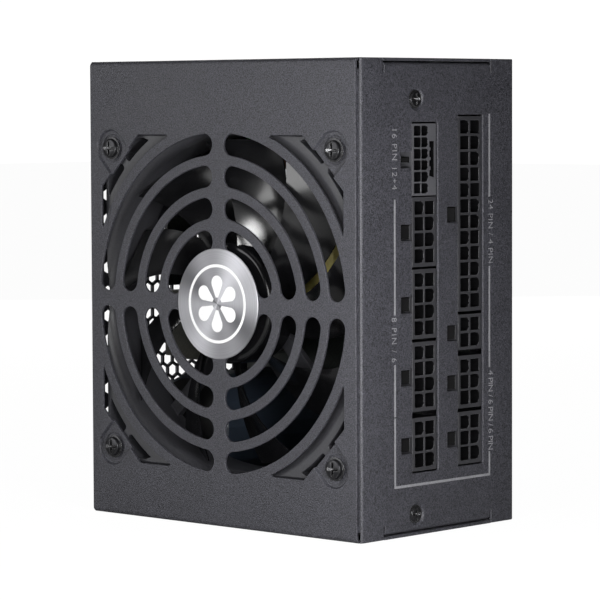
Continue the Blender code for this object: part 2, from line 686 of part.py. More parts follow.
def fan_motor():
    top = HUB_FRONT + 1.2 * MM
    shaft = [(0, top), (SHAFT_RADIUS, top), (SHAFT_RADIUS, SHAFT_END), (0, SHAFT_END)]
    smooth(add("fan_shaft", turned("Y", shaft, 10), "steel", (0, 0, FAN_Z)))
    ring("fan_bearing", "bronze", 1.65 * MM, 2.9 * MM, TUBE_FRONT + 0.3 * MM, SHAFT_END, 12)
    ring("fan_magnet_ring", "magnet", 13.4 * MM, 15.1 * MM, -27.1 * MM, HUB_BACK - 0.5 * MM, 20)
    ring("fan_circuit_board", "board", 4.8 * MM, 12.8 * MM, -18.6 * MM, -17.6 * MM, 20)
    fan_stator()


def badge():
    """The disc over the fan, proud of the face, with a turned edge."""
    low, high = Y_FACE - 0.1 * MM, Y_FACE - 0.55 * MM
    radius = BADGE_RADIUS
    profile = [(0, high), (radius - 0.5 * MM, high), (radius, high + 0.25 * MM), (radius, low), (0, low)]
    return smooth(add("badge", turned("Y", profile, 40), "spun_aluminium", (0, 0, FAN_Z)))


# ---------------------------------------------------------------- fasteners
def pan_screw(head_radius, head_high, shank_radius, length):
    """A pan-head screw that points along +Y from the underside of its head."""
    profile = [(0, -head_high), (head_radius * 0.6, -head_high), (head_radius, -head_high * 0.4)]
    profile += [(head_radius, 0), (shank_radius, 0), (shank_radius, length), (0, length)]
    return turned("Y", profile, 12)


def flat_screw(axis):
    """A countersunk screw whose face is level with the surface that it closes."""
    return turned(axis, mm_points((0, 0), (2.75, 0), (1.4, -1.35), (1.4, -5), (0, -5)), 12)


def fasteners():
    fan_screw = pan_screw(3.1 * MM, 1.4 * MM, 1.9 * MM, 8 * MM)
    seat = Y_FACE + PAD_DEPTH - HEAD_GAP
    for i, (x, z) in enumerate(corners_of(FAN_HOLE, FAN_HOLE)):
        smooth(add(f"fan_screw_{i + 1}", fan_screw, "black_zinc", (x, seat, FAN_Z + z)))
    case_screw = flat_screw("Z")
    for i, (across, level, turn) in enumerate(CASE_SCREWS):
        smooth(add(f"cover_screw_{i + 1}", case_screw, "black_zinc", (across, 0, level), turn))
    panel_screw = flat_screw("X")
    for i, z in enumerate(PANEL_SCREW_Z):
        smooth(add(f"panel_screw_{i + 1}", panel_screw, "black_zinc", (X_END, PANEL_SCREW_Y, z)))
    board_screw = pan_screw(2.6 * MM, 1.8 * MM, 1.2 * MM, 4.7 * MM)
    for i, (x, z) in enumerate(BOARD_SCREWS):
        smooth(add(f"board_screw_{i + 1}", board_screw, "steel", (x, MAIN_BOARD_Y - HEAD_GAP, z)))


# ---------------------------------------------------------------- output end
def socket_height(socket):
    return socket[3]


def cells_of(socket, column):
    """Centres, half sizes and shape of the cells of one socket."""
    _, circuits, middle, _ = socket
    fine = circuits == SENSE_SOCKET
    pitch = FINE_PITCH if fine else PITCH
    rows = 6 if fine else circuits // 2
    offset = -1.25 * MM if fine else 0
    made = []
    for row in range(rows):
        z = middle + (rows - 1 - 2 * row) * pitch / 2
        for side in (-1, 1):
            keyed = side > 0 if fine else (row % 4 in (0, 3)) == (side < 0)
            made.append((column + offset + side * pitch / 2, z, (FINE_CELL if fine else CELL) / 2, keyed))
    return made


def cell_outline(y, z, half, keyed):
    """A square cell, or one whose two corners on the +Y side are cut off to key the plug."""
    if not keyed:
        return rectangle(y - half, y + half, z - half, z + half)
    trim = half * 0.6
    corners = [(y - half, z - half), (y + half - trim, z - half), (y + half, z - half + trim)]
    return corners + [(y + half, z + half - trim), (y + half - trim, z + half), (y - half, z + half)]


def output_socket(socket, column):
    name, circuits, middle, height = socket
    outline = box_outline(column, middle, (SOCKET_WIDTH / 2, height / 2))
    body = add(name, prism("X", [outline], SOCKET_FACE - SOCKET_DEPTH, SOCKET_FACE), "socket_plastic")
    side = column - SOCKET_WIDTH / 2
    catch = [(SOCKET_FACE - 6 * MM, side + MM), (SOCKET_FACE - 6 * MM, side - CATCH_REACH)]
    catch += [(SOCKET_FACE - 4.5 * MM, side - CATCH_REACH), (SOCKET_FACE - MM, side - 0.3 * MM)]
    catch.append((SOCKET_FACE - MM, side + MM))
    half = FINE_CATCH if circuits == SENSE_SOCKET else CATCH
    join(body, prism("Z", [catch], middle - half, middle + half))
    cells = [cell_outline(*cell) for cell in cells_of(socket, column)]
    if circuits == SENSE_SOCKET:
        sense = column + 3 * MM
        cells.append(rectangle(sense - 0.8 * MM, sense + 0.8 * MM, middle - 4.7 * MM, middle + 4.7 * MM))
    cut(body, prism("X", cells, SOCKET_FACE - CELL_DEPTH, SOCKET_FACE + MM))
    return body


def output_end():
    for socket in NEAR_SOCKETS:
        output_socket(socket, COLUMN_NEAR)
    for socket in FAR_SOCKETS:
        output_socket(socket, COLUMN_FAR)
    board = block((OUTPUT_BOARD_X, -13.5 * MM, 2.6 * MM), (OUTPUT_BOARD_X + BOARD, 29 * MM, 118 * MM))
    add("output_board", board, "black_board")
    low, high = OUTPUT_BOARD_X + BOARD + CLEAR, X_END - SHEET - 2 * CLEAR
    inner, outer = 1.65 * MM, 2.5 * MM
    for i, z in enumerate(PANEL_SCREW_Z):
        profile = [(inner, low), (outer, low), (outer, high), (inner, high)]
        smooth(add(f"board_spacer_{i + 1}", turned("X", profile, 10), "tinned_brass", (0, PANEL_SCREW_Y, z)))


# ---------------------------------------------------------------- mains end
def aperture(y, z, half, chamfer):
    """The inlet's opening: a rectangle with the two corners on its -Y side cut off."""
    low, high = y - half[0], y + half[0]
    points = [(high, z - half[1]), (high, z + half[1]), (low + chamfer, z + half[1])]
    return points + [(low, z + half[1] - chamfer), (low, z - half[1] + chamfer), (low + chamfer, z - half[1])]


def mains_inlet():
    flange = rounded(box_outline(INLET_Y, MAINS_Z, INLET_FLANGE), 1.5 * MM)
    inlet = add("mains_inlet", prism("X", [flange], WELL_FLOOR - 2 * MM, WELL_FLOOR - CLEAR), "black_plastic")
    body = rounded(box_outline(INLET_Y, MAINS_Z, INLET_SIZE), MM)
    join(inlet, prism("X", [body], WELL_FLOOR - MM, INLET_BACK))
    mouth = aperture(INLET_Y, MAINS_Z, INLET_MOUTH, INLET_CHAMFER)
    cut(inlet, prism("X", [mouth], WELL_FLOOR - 3 * MM, INLET_BACK - 3 * MM))
    slots = [box_outline(y, z, BLADE_SIZE, 0.3 * MM) for y, z in BLADE_PLACES.values()]
    cut(inlet, prism("X", slots, INLET_BACK - 4 * MM, INLET_BACK + MM))
    for name, (y, z) in BLADE_PLACES.items():
        blade_mesh = prism("X", [box_outline(y, z, BLADE_SIZE)], WELL_FLOOR + 3 * MM, INLET_BACK + 5 * MM)
        bevel(add(name, blade_mesh, "tinned_brass"), 0.4 * MM)


def rocker_switch():
    flange = rounded(box_outline(SWITCH_Y, MAINS_Z, SWITCH_FLANGE), MM)
    front = WELL_FLOOR - 1.6 * MM
    bezel = add("switch_bezel", prism("X", [flange], front, WELL_FLOOR - CLEAR), "black_plastic")
    body = rounded(box_outline(SWITCH_Y, MAINS_Z, SWITCH_SIZE), MM)
    join(bezel, prism("X", [body], WELL_FLOOR - MM, WELL_FLOOR + 14 * MM))
    well = box_outline(SWITCH_Y, MAINS_Z, (4.9 * MM, 8.2 * MM))
    cut(bezel, prism("X", [well], WELL_FLOOR - 3 * MM, WELL_FLOOR + 6.5 * MM))
    front = [(-1.6 * MM, 0), (-2.9 * MM, -7.3 * MM), (1.2 * MM, -6.8 * MM), (3 * MM, -2 * MM)]
    outline = front + [(3 * MM, 2 * MM), (1.2 * MM, 6.8 * MM), (-2.9 * MM, 7.3 * MM)]
    at = (ROCKER_X, SWITCH_Y, MAINS_Z)
    rocker = prism("Y", [outline], -4.5 * MM, 4.5 * MM)
    return bevel(add("switch_rocker", rocker, "black_plastic", at, (0, ROCKER_THROW, 0)), 0.4 * MM)


# ---------------------------------------------------------------- main board and its parts
def main_board():
    x, z = MAIN_BOARD_X, MAIN_BOARD_Z
    board = add("main_board", prism("Y", [rectangle(*x, *z)], MAIN_BOARD_Y, MAIN_BOARD_Y + BOARD), "board")
    holes = [circle(screw, 1.6 * MM, 8) for screw in BOARD_SCREWS]
    cut(board, prism("Y", holes, MAIN_BOARD_Y - MM, MAIN_BOARD_Y + BOARD + MM))
    sheet = prism("Y", [rectangle(*x, *z)], MAIN_BOARD_Y + BOARD + 0.9 * MM, MAIN_BOARD_Y + BOARD + 1.3 * MM)
    sheet = add("insulation_sheet", sheet, "film")
    holes = [circle(screw, 3.8 * MM, 10) for screw in BOARD_SCREWS]
    cut(sheet, prism("Y", holes, MAIN_BOARD_Y + BOARD, Y_BACK))


def can(name, slot, x, z, radius, tall, steps):
    """An upright capacitor with a rounded shoulder."""
    top = PARTS_Y - tall
    profile = [(0, top), (radius - MM, top), (radius, top + MM), (radius, PARTS_Y), (0, PARTS_Y)]
    return smooth(add(name, turned("Y", profile, steps), slot, (x, 0, z)))


def upright(name, slot, x, z, tall, edge=0.0):
    """A box-shaped part on the main board; x and z are its low and high limits."""
    made = add(name, prism("Y", [rectangle(*x, *z)], PARTS_Y - tall, PARTS_Y), slot)
    return bevel(made, edge) if edge else made


def toroid(name, slot, axis, centre, radii, width, steps):
    inner, outer = radii
    trim = 2 * MM
    half = width / 2
    profile = [(inner, half - trim), (inner + trim, half), (outer - trim, half), (outer, half - trim)]
    profile += [(radius, -along) for radius, along in profile[::-1]]
    return smooth(add(name, turned(axis, profile, steps), slot, centre), 60)


def heatsink(name, x, z, foot, tip):
    """A finned plate that stands on the board: fins point to +Z; foot and tip are its Y limits."""
    low, high = z, z + FIN_HIGH
    outline = [(foot, low), (tip, low)]
    for fin in range(FINS):
        y = tip + fin * FIN_PITCH
        outline += [(y, high), (y + FIN_THICK, high)]
        outline += [(y + FIN_THICK, low + PLATE), (y + FIN_PITCH, low + PLATE)]
    outline.append((foot, low + PLATE))
    return add(name, prism("X", [outline], *x), "bare_aluminium")


def boost_choke():
    """A tall ferrite core whose winding shows at both of its open ends."""
    (left, right), (low, high) = CHOKE_X, CHOKE_Z
    top = PARTS_Y - CHOKE_TALL
    choke = upright("boost_choke", "magnet", CHOKE_X, (low + CHOKE_END, high - CHOKE_END), CHOKE_TALL)
    rim = CHOKE_WALL
    winding = rectangle(left + rim, right - rim, top + rim, PARTS_Y - rim)
    join(choke, prism("Z", [rounded(winding, 2 * MM)], low, high))
    return choke


def transformer():
    winding = rounded(rectangle(TRAFO_X - 11 * MM, TRAFO_X + 11 * MM, -11 * MM, 24 * MM), 3 * MM, 3)
    add("transformer_winding", prism("Z", [winding], TRAFO_Z - 8.3 * MM, TRAFO_Z + 8.3 * MM), "yellow_tape")
    core = add(
        "transformer_core",
        prism("Y", [rectangle(-18 * MM, 18 * MM, -14.3 * MM, 14.3 * MM)], -5 * MM, 18 * MM),
        "magnet",
        (TRAFO_X, 0, TRAFO_Z),
    )
    window = rectangle(-11.4 * MM, 11.4 * MM, -8.7 * MM, 8.7 * MM)
    cut(core, prism("Y", [window], -6 * MM, 19 * MM), (TRAFO_X, 0, TRAFO_Z))
    return bevel(core, 0.8 * MM)


def board_parts():
    can("bulk_capacitor", "sleeve", -31 * MM, 23.8 * MM, 14.2 * MM, 38.3 * MM, 24)
    can("output_capacitor", "bare_aluminium", 8 * MM, 30 * MM, 5 * MM, 20 * MM, 14)
    boost_choke()
    choke_at = (-14 * MM, 15.5 * MM, 104 * MM)
    toroid("common_mode_choke", "copper_wire", "X", choke_at, (4 * MM, 10 * MM), 9 * MM, 20)
    heatsink("primary_heatsink", (-44 * MM, -8 * MM), 66 * MM, PARTS_Y, -8 * MM)
    heatsink("secondary_heatsink", (-3 * MM, 31 * MM), 87.5 * MM, PARTS_Y, -6 * MM)
    bridge_z = (62.2 * MM, 65.7 * MM)
    upright("rectifier_bridge", "black_plastic", (-40 * MM, -22 * MM), bridge_z, 20 * MM, 0.5 * MM)
    upright("filter_capacitor", "yellow_tape", (-19.5 * MM, -5 * MM), (80 * MM, 88 * MM), 16 * MM, 0.8 * MM)
    upright("standby_transformer", "yellow_tape", (17 * MM, 31 * MM), (99 * MM, 112 * MM), 18 * MM, MM)
    fuse = [(0, -10 * MM), (2.6 * MM, -10 * MM), (2.6 * MM, 10 * MM), (0, 10 * MM)]
    smooth(add("mains_fuse", turned("X", fuse, 12), "tinned_brass", (-14 * MM, 23 * MM, 118 * MM)))
    transformer()


def wires():
    wire("fan_cable", FAN_CABLE, 1.2 * MM, "film")
    wire("live_wire", LIVE_WIRE, 1.3 * MM, "film")
    wire("neutral_wire", NEUTRAL_WIRE, 1.3 * MM, "sleeve")
    wire("earth_wire", EARTH_WIRE, 1.3 * MM, "earth_wire")


def build():
    fan_cover()
    base_chassis()
    fan_frame()
    fan_impeller()
    fan_motor()
    badge()
    fasteners()
    output_end()
    mains_inlet()
    rocker_switch()
    main_board()
    board_parts()
    wires()


build()
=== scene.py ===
"""Looks of a compact modular computer power supply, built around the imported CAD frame.

It stands on one flank: +Z is up along its 125 mm side, -Y is the fan face, -X the mains end and +X the output
end. Every place and main size comes from the frame; the rest are named values in metres.
"""

import math

import bmesh
import bpy
from mathutils import Matrix, Vector


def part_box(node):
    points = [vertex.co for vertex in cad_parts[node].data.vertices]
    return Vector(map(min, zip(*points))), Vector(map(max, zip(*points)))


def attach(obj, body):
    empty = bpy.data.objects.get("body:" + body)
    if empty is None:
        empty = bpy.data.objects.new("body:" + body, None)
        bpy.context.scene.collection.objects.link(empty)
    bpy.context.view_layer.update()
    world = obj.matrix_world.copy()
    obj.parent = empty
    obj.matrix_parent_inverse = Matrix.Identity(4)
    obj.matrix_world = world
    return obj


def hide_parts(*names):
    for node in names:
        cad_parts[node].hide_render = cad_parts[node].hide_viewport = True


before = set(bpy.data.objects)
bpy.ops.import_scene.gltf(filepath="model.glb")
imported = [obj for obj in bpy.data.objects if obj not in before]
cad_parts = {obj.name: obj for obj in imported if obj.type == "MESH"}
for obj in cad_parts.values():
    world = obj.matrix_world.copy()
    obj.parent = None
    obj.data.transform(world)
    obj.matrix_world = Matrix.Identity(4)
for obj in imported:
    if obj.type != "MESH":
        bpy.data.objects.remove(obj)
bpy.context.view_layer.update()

MM = 0.001


def middle(node):
    low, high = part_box(node)
    return (low + high) / 2


# ---- sizes from the frame
case_low, case_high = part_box("fan_cover")
X_END = case_high.x
Y_FACE = case_low.y
Y_BACK = case_high.y
HEIGHT = case_high.z
fan_low, fan_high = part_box("fan_frame")
FAN_Z = (fan_low.z + fan_high.z) / 2
FAN_FRONT = fan_low.y
FAN_BACK = fan_high.y
FAN_HALF = (fan_high.z - fan_low.z) / 2
badge_low, badge_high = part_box("badge")
BADGE_RADIUS = (badge_high.z - badge_low.z) / 2
HUB_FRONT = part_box("fan_impeller")[0].y
FAN_HOLE = middle("fan_screw_1").x
CENTRE = (0, 0, FAN_Z)

SHEET = 0.8 * MM
CLEAR = 0.2 * MM
BEND = 1.3 * MM
FOLD = 1.0 * MM
PRINT = 0.03 * MM
PANEL = X_END - PRINT

# case
COVER_X = X_END - SHEET - 0.15 * MM
LIP = 2.5 * MM
FLAP = 22 * MM
TAB_NOTCH = 0.5 * MM
TAB_DROP = 1.1 * MM
TAB_LENGTH = 8 * MM
TAB_HOLE = 1.9 * MM
STANDOFF_HOLE = 1.5 * MM
RETURN = 3 * MM
RETURN_Y = Y_FACE + SHEET + CLEAR
BACK_MARGIN = LIP + 0.3 * MM
CASE_SCREW_X = middle("cover_screw_2").x
UPSIDE_DOWN = (math.pi, 0, 0)
CASE_SCREWS = (
    ("cover_screw_1", -CASE_SCREW_X, HEIGHT, (0, 0, 0)),
    ("cover_screw_2", CASE_SCREW_X, HEIGHT, (0, 0, 0)),
    ("cover_screw_3", -CASE_SCREW_X, 0, UPSIDE_DOWN),
    ("cover_screw_4", CASE_SCREW_X, 0, UPSIDE_DOWN),
)
COUNTERSINK = (
    (0, MM), (3.95 * MM, MM), (2.95 * MM, 0), (1.7 * MM, -1.25 * MM), (1.7 * MM, -3 * MM), (0, -3 * MM),
)
CASE_HOLE_Y = 51.5 * MM / 2
CASE_HOLE_Z = 113 * MM / 2
CASE_HOLE = 1.6 * MM

# grille
RINGS = 4
RING_OUTER = 45.6 * MM
RING_PITCH = 8.47 * MM
SLOT = 5.8 * MM
SPOKE = 4.2 * MM
WINDOW_ARC = 48.4 * MM
WINDOW_TOP = 45.0 * MM
WINDOW_SIDE = 44.8 * MM
WINDOW_DIAGONAL = 75.5 * MM
TIP = 1.2
PAD_RADIUS = 4.8 * MM
PAD_DEPTH = 0.9 * MM
PAD_REACH = 6.5 * MM
PAD_SLOPE = 0.3 * MM
DIMPLE_RADIUS = 3.75 * MM
DIMPLE_DEPTH = 0.35 * MM
SCREW_HOLE = 2.25 * MM

# fan
DUCT_RADIUS = 45 * MM
MOUTH_RADIUS = 50 * MM
FAN_CORNER = 4.7 * MM
FRAME_EDGE = 1.2 * MM
FRAME_SLOT_INNER = 51.8 * MM
FRAME_SLOT_OUTER = 55.1 * MM
FRAME_SLOT_REACH = FAN_HALF - FRAME_EDGE - 0.7 * MM
FRAME_SLOT_END = 0.9 * MM
RIB_ANGLE = 1.3
SLOT_ANGLE = 12.0
HUB_RADIUS = 16.4 * MM
HUB_BACK = -19 * MM
HUB_CORNER = 1.6 * MM
HUB_WALL = MM
HUB_FACE = 1.3 * MM
HUB_CHAMFER = (0.8 * MM, 0.6 * MM)
HUB_SLEEVE = (3 * MM, 4 * MM)
BLADE_TIP = 43.8 * MM
BLADE_ROOT = HUB_RADIUS - 0.5 * MM
BLADES = 9
BLADE_FRONT = -28.1 * MM
BLADE_RISE = 9 * MM
BLADE_HALF = 0.6 * MM
BLADE_CURVE = 80
BLADE_CHORD = 25
BLADE_SWEEP = 24
BLADE_ROWS = 10
BLADE_COLUMNS = 13
FIRST_BLADE = 20.3
ARM_WIDTH = 4 * MM
ARM_REACH = DUCT_RADIUS + 0.8 * MM
MOTOR_SEAT = 15 * MM
SEAT_THICK = 2 * MM
TUBE = (3.2 * MM, 4.4 * MM)
TUBE_FRONT = -23.8 * MM
SHAFT_HOLE = 1.7 * MM

# badge
SIGN_HEIGHT = 0.05 * MM
SIGN_RING = (9.8 * MM, 10.6 * MM)
PETALS = 6
PETAL_AT = 5.6 * MM
PETAL_RADIUS = 2 * MM
PETAL_ROOT = (1.7 * MM, 0.45 * MM)

# screws; PAN_HEAD gives shares of the head's radius and height
PAN_HEAD = ((0.6, 0), (0.76, 0.14), (0.83, 0.45), (0.84, 0.8), (1, 0.85))
FLAT_SCREW = (
    (0, 0), (1.9 * MM, 0), (2.0 * MM, -0.3 * MM), (2.45 * MM, -0.4 * MM), (1.4 * MM, -1.35 * MM),
    (1.4 * MM, -5 * MM), (0, -5 * MM),
)
ARM_SHARE = 0.2
POINT_SHARE = 0.35
MOUTH_SHARE = 1.15
THREADS = 12

# output end
PITCH = 4.2 * MM
CELL = 3.5 * MM
CELL_DEPTH = 9 * MM
SOCKET_WIDTH = 9.7 * MM
SOCKET_GAP = 0.35 * MM
NOTCH_DEPTH = 4.4 * MM
NOTCH_WIDTH = 4.2 * MM
CATCH = 1.8 * MM
FINE_CATCH = 0.7 * MM
CATCH_REACH = 2.8 * MM
FINE_PITCH = 3 * MM
FINE_CELL = 2.5 * MM
FINE_OFFSET = -1.25 * MM
PIN = 0.45 * MM
COMB_AT = 3 * MM
COMB_HALF = 4.7 * MM
TOOTH_PITCH = 2.5 * MM
LEFT_LINE = -17.5 * MM
RIGHT_LINE = 21.3 * MM
PRINT_LOW = 13.3 * MM
LINE_WIDTH = 0.65 * MM
TEXT_SIZE = 2.75 * MM
TEXT_SPREAD = 1.3
NEAR_COLUMN = {
    "socket_16_way": 16, "socket_8_way_1": 8, "socket_8_way_2": 8, "socket_8_way_3": 8, "socket_6_way_1": 6,
}
FAR_COLUMN = {"socket_24_way": 24, "socket_4_way": 4, "socket_6_way_2": 6, "socket_6_way_3": 6}
# pieces of print, each with its words, its place along Y and its upper and lower ends, in mm
PRINTED_WORDS = (
    ("print_16", "16 PIN 12+4", -17.6, 107, 91.5),
    ("print_8", "8 PIN / 6", -17.9, 57.8, 46.2),
    ("print_24", "24 PIN / 4 PIN", 21.75, 87.5, 70.5),
    ("print_6", "4 PIN / 6 PIN / 6 PIN", 21.75, 41.5, 20),
)
PANEL_SCREWS = ("panel_screw_1", "panel_screw_2")

# mains end
inlet_low, inlet_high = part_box("mains_inlet")
bezel_low, bezel_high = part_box("switch_bezel")
INLET = middle("mains_inlet")
BEZEL = middle("switch_bezel")
WELL_FLOOR = -X_END + 3 * MM
WELL_Y = (-15.6 * MM, 27.4 * MM)
WELL_Z = (81.2 * MM, 114.8 * MM)
WELL_CORNER = 3 * MM
INLET_FLANGE = (11.8 * MM, 15.4 * MM)
INLET_BODY = (9.8 * MM, 13.6 * MM)
INLET_MOUTH = (7.9 * MM, 12 * MM)
INLET_CHAMFER = 4.6 * MM
INLET_BLADES = ("inlet_blade_earth", "inlet_blade_live", "inlet_blade_neutral")
BLADE_SLOT = (2.3 * MM, 1.3 * MM)
BEZEL_FLANGE = (7.4 * MM, 10.5 * MM)
BEZEL_BODY = (5.9 * MM, 9.3 * MM)
BEZEL_MOUTH = (4.9 * MM, 8.2 * MM)
HOLE_GAP = 0.3 * MM
ROCKER_THROW = math.radians(8)
ROCKER_SLOPE = math.atan2(1.3, 7.3)
VENT_PITCH = 3.9 * MM
VENT_HOLE = 3.2 * MM
VENT_Y = -1.7 * MM
VENT_LOW = 13.8 * MM
VENT_ROWS = 29
VENT_SIDE = 7
VENT_REACH = 26 * MM
VENT_SPLIT = 78 * MM
VENT_SPLIT_Y = -18.6 * MM

# camera
CAMERA_AT = (0.5659, -0.6141, 0.1127)
CAMERA_AZIMUTH = 42.64
CAMERA_ELEVATION = 3.65
CAMERA_ROLL = -0.24
CAMERA_LENS = 182.76

# lights, each with its azimuth, elevation, distance and size in m, and power in W
SOFT_LIGHTS = (
    ("front", 27, 6, 0.27, 0.1, 0.2),
    ("side", 58, 0, 0.25, 0.08, 0.56),
    ("left", -30, 12, 0.8, 0.6, 2.9),
    ("rear", -135, 15, 0.9, 0.6, 2.5),
    ("above", 60, 80, 0.6, 0.4, 0.5),
)
SURROUND = 0.04


# ---- node materials
class Nodes:
    """A material's node tree with short ways to add and link nodes."""

    def __init__(self, name):
        self.material = bpy.data.materials.new(name)
        self.material.use_nodes = True
        self.tree = self.material.node_tree
        self.shader = self.tree.nodes["Principled BSDF"]
        self.place = self.tree.nodes.new("ShaderNodeTexCoord").outputs["Object"]

    def add(self, kind, *values, **settings):
        """A node of a kind with its properties set and its inputs fed in order; None leaves one as it is."""
        made = self.tree.nodes.new(kind)
        for key, value in settings.items():
            setattr(made, key, value)
        for slot, value in zip(made.inputs, values):
            self.feed(slot, value)
        return made

    def feed(self, slot, value):
        if isinstance(value, bpy.types.NodeSocket):
            self.tree.links.new(value, slot)
        elif value is not None:
            slot.default_value = value

    def noise(self, size, detail=2.0):
        """Noise from 0 to 1 whose lumps are about size metres across."""
        made = self.add("ShaderNodeTexNoise", self.place)
        made.inputs["Scale"].default_value = 1 / size
        made.inputs["Detail"].default_value = detail
        return made.outputs[0]

    def math(self, operation, *values):
        return self.add("ShaderNodeMath", *values, operation=operation).outputs[0]

    def span(self, value, from_low, from_high, to_low=0.0, to_high=1.0):
        return self.add("ShaderNodeMapRange", value, from_low, from_high, to_low, to_high).outputs[0]

    def vary(self, noise, low, high):
        """Follows a noise from low to high; the noise itself stays mostly between 0.3 and 0.7."""
        return self.span(noise, 0.3, 0.7, low, high)

    def mix(self, share, first, second):
        """A blend of two colours, which are the mix node's inputs 6 and 7."""
        made = self.add("ShaderNodeMix", data_type="RGBA")
        self.feed(made.inputs["Factor"], share)
        self.feed(made.inputs[6], first)
        self.feed(made.inputs[7], second)
        return made.outputs[2]

    def rubbed_and_lit_edge(self, reach, amount):
        """Near 1 on outer edges, broken up by noise, and 0 elsewhere; it lays on the lighter edges, partly
        rubbing and partly a painted highlight.
        """
        round_normal = self.add("ShaderNodeBevel", reach, samples=4).outputs[0]
        normal = self.add("ShaderNodeNewGeometry").outputs["Normal"]
        alike = self.add("ShaderNodeVectorMath", round_normal, normal, operation="DOT_PRODUCT")
        edge = self.span(alike.outputs["Value"], 0.99, 0.8)
        broken = self.span(self.noise(1.2 * MM, 3.0), 0.35, 0.65, 0.25, 1.0)
        return self.math("MULTIPLY", self.math("MULTIPLY", edge, broken), amount)

    def surface(self, colour, rough, metal, height, depth, strength=1.0):
        """Feeds the shader; height, from 0 to 1, raises the surface by up to depth."""
        self.feed(self.shader.inputs["Base Color"], colour)
        self.feed(self.shader.inputs["Roughness"], rough)
        self.feed(self.shader.inputs["Metallic"], metal)
        relief = self.add("ShaderNodeBump", strength, depth, None, height)
        self.feed(self.shader.inputs["Normal"], relief.outputs[0])

    def overlay(self, share, colour):
        """Lays a colour over the base colour where share is near 1."""
        base = self.shader.inputs["Base Color"]
        self.feed(base, self.mix(share, base.links[0].from_socket, colour))


def grey(level, blue=1.0):
    return (level, level, level * blue, 1)


def finish(name, colour, rough, metal, grain, spread, edge_rub_and_light=(), shine=0.5):
    """A surface with fine grain, a slow change of tone and roughness, and lighter edges, partly rubbed and
    partly a painted highlight.

    grain is the grain's width and depth in mm, spread how far the slow change and the grain shift the tone,
    the next argument the amount and colour of the lighter edges, partly rubbing and partly a painted edge
    highlight, and shine the specular level.
    """
    nodes = Nodes(name)
    fine = nodes.noise(grain[0] * MM, 3.0)
    slow = nodes.noise(9 * MM)
    mottle = nodes.vary(slow, 1 - spread[0], 1 + spread[0])
    speckle = nodes.vary(fine, 1 - spread[1], 1 + spread[1])
    tone = nodes.add("ShaderNodeVectorMath", colour[:3], operation="SCALE")
    nodes.feed(tone.inputs["Scale"], nodes.math("MULTIPLY", mottle, speckle))
    base = tone.outputs[0]
    # Lighter edges: partly rubbed, partly a painted edge highlight.
    if edge_rub_and_light:
        base = nodes.mix(nodes.rubbed_and_lit_edge(0.35 * MM, edge_rub_and_light[0]), base, edge_rub_and_light[1])
    nodes.surface(base, nodes.vary(slow, rough - 0.05, rough + 0.05), metal, fine, grain[1] * MM)
    nodes.shader.inputs["Specular IOR Level"].default_value = shine
    return nodes


def powder_coat():
    """Black paint baked on as fine powder: an even, sandy grain, a little lighter along the bends, partly
    rubbed and partly a painted highlight.
    """
    rubbed_and_lit = grey(0.14, 1.15)
    return finish("powder_coat", grey(0.043, 1.2), 0.5, 0.1, (0.3, 0.12), (0.05, 0.9), (0.35, rubbed_and_lit))


def fan_plastic():
    """Glossy black glass-filled plastic with faint flow marks."""
    return finish("fan_plastic", grey(0.005, 1.15), 0.2, 0, (1.4, 0.002), (0.06, 0.04), (0.1, grey(0.04)))


def frame_plastic():
    """Satin black plastic, a little greyer than the blades."""
    return finish("frame_plastic", grey(0.036, 1.14), 0.4, 0, (0.5, 0.01), (0.06, 0.15), (0.2, grey(0.07)))


def slot_shade_plastic():
    """Painted shade: a duller copy of the fan frame's plastic, with less shine, for where it is deep in a
    slot.
    """
    return finish("slot_shade_plastic", grey(0.04, 1.14), 0.6, 0, (0.5, 0.01), (0.06, 0.1), (0.1, grey(0.03)), 0.2)


def socket_plastic():
    # The lighter rims stand partly for rubbing and partly for a painted highlight on the cell walls' front
    # edges.
    rubbed_and_lit = grey(0.13, 1.06)
    return finish("socket_plastic", grey(0.03, 1.12), 0.4, 0, (0.2, 0.01), (0.1, 0.15), (0.9, rubbed_and_lit))


def cell_shade():
    """Painted shade for the inside of a cell: near black, as hardly any light reaches there."""
    return finish("cell_shade", grey(0.002, 1.2), 0.6, 0, (0.2, 0.01), (0.2, 0.2), (0.1, grey(0.02)), 0.12)


def catch_shade():
    """Painted shade on the ramp that a plug's latch snaps over: near black and dull, deep in its notch."""
    rubbed_and_lit = grey(0.02)
    return finish("catch_shade", grey(0.002, 1.12), 0.7, 0, (0.2, 0.01), (0.1, 0.15), (0.15, rubbed_and_lit), 0.1)


def sense_plastic():
    """The lighter grey of the fine-pitch socket."""
    return finish("sense_plastic", grey(0.07, 1.1), 0.42, 0, (0.2, 0.01), (0.1, 0.15), (0.3, grey(0.2)))


def black_plastic():
    return finish("black_plastic", grey(0.022), 0.38, 0, (0.35, 0.012), (0.15, 0.2), (0.3, grey(0.07)))


def black_zinc():
    """Black plating on steel screws, grey on the rims: partly rubbed through, partly a painted highlight."""
    return finish("black_zinc", grey(0.035, 1.08), 0.3, 0.85, (0.3, 0.012), (0.2, 0.2), (0.7, grey(0.35)))


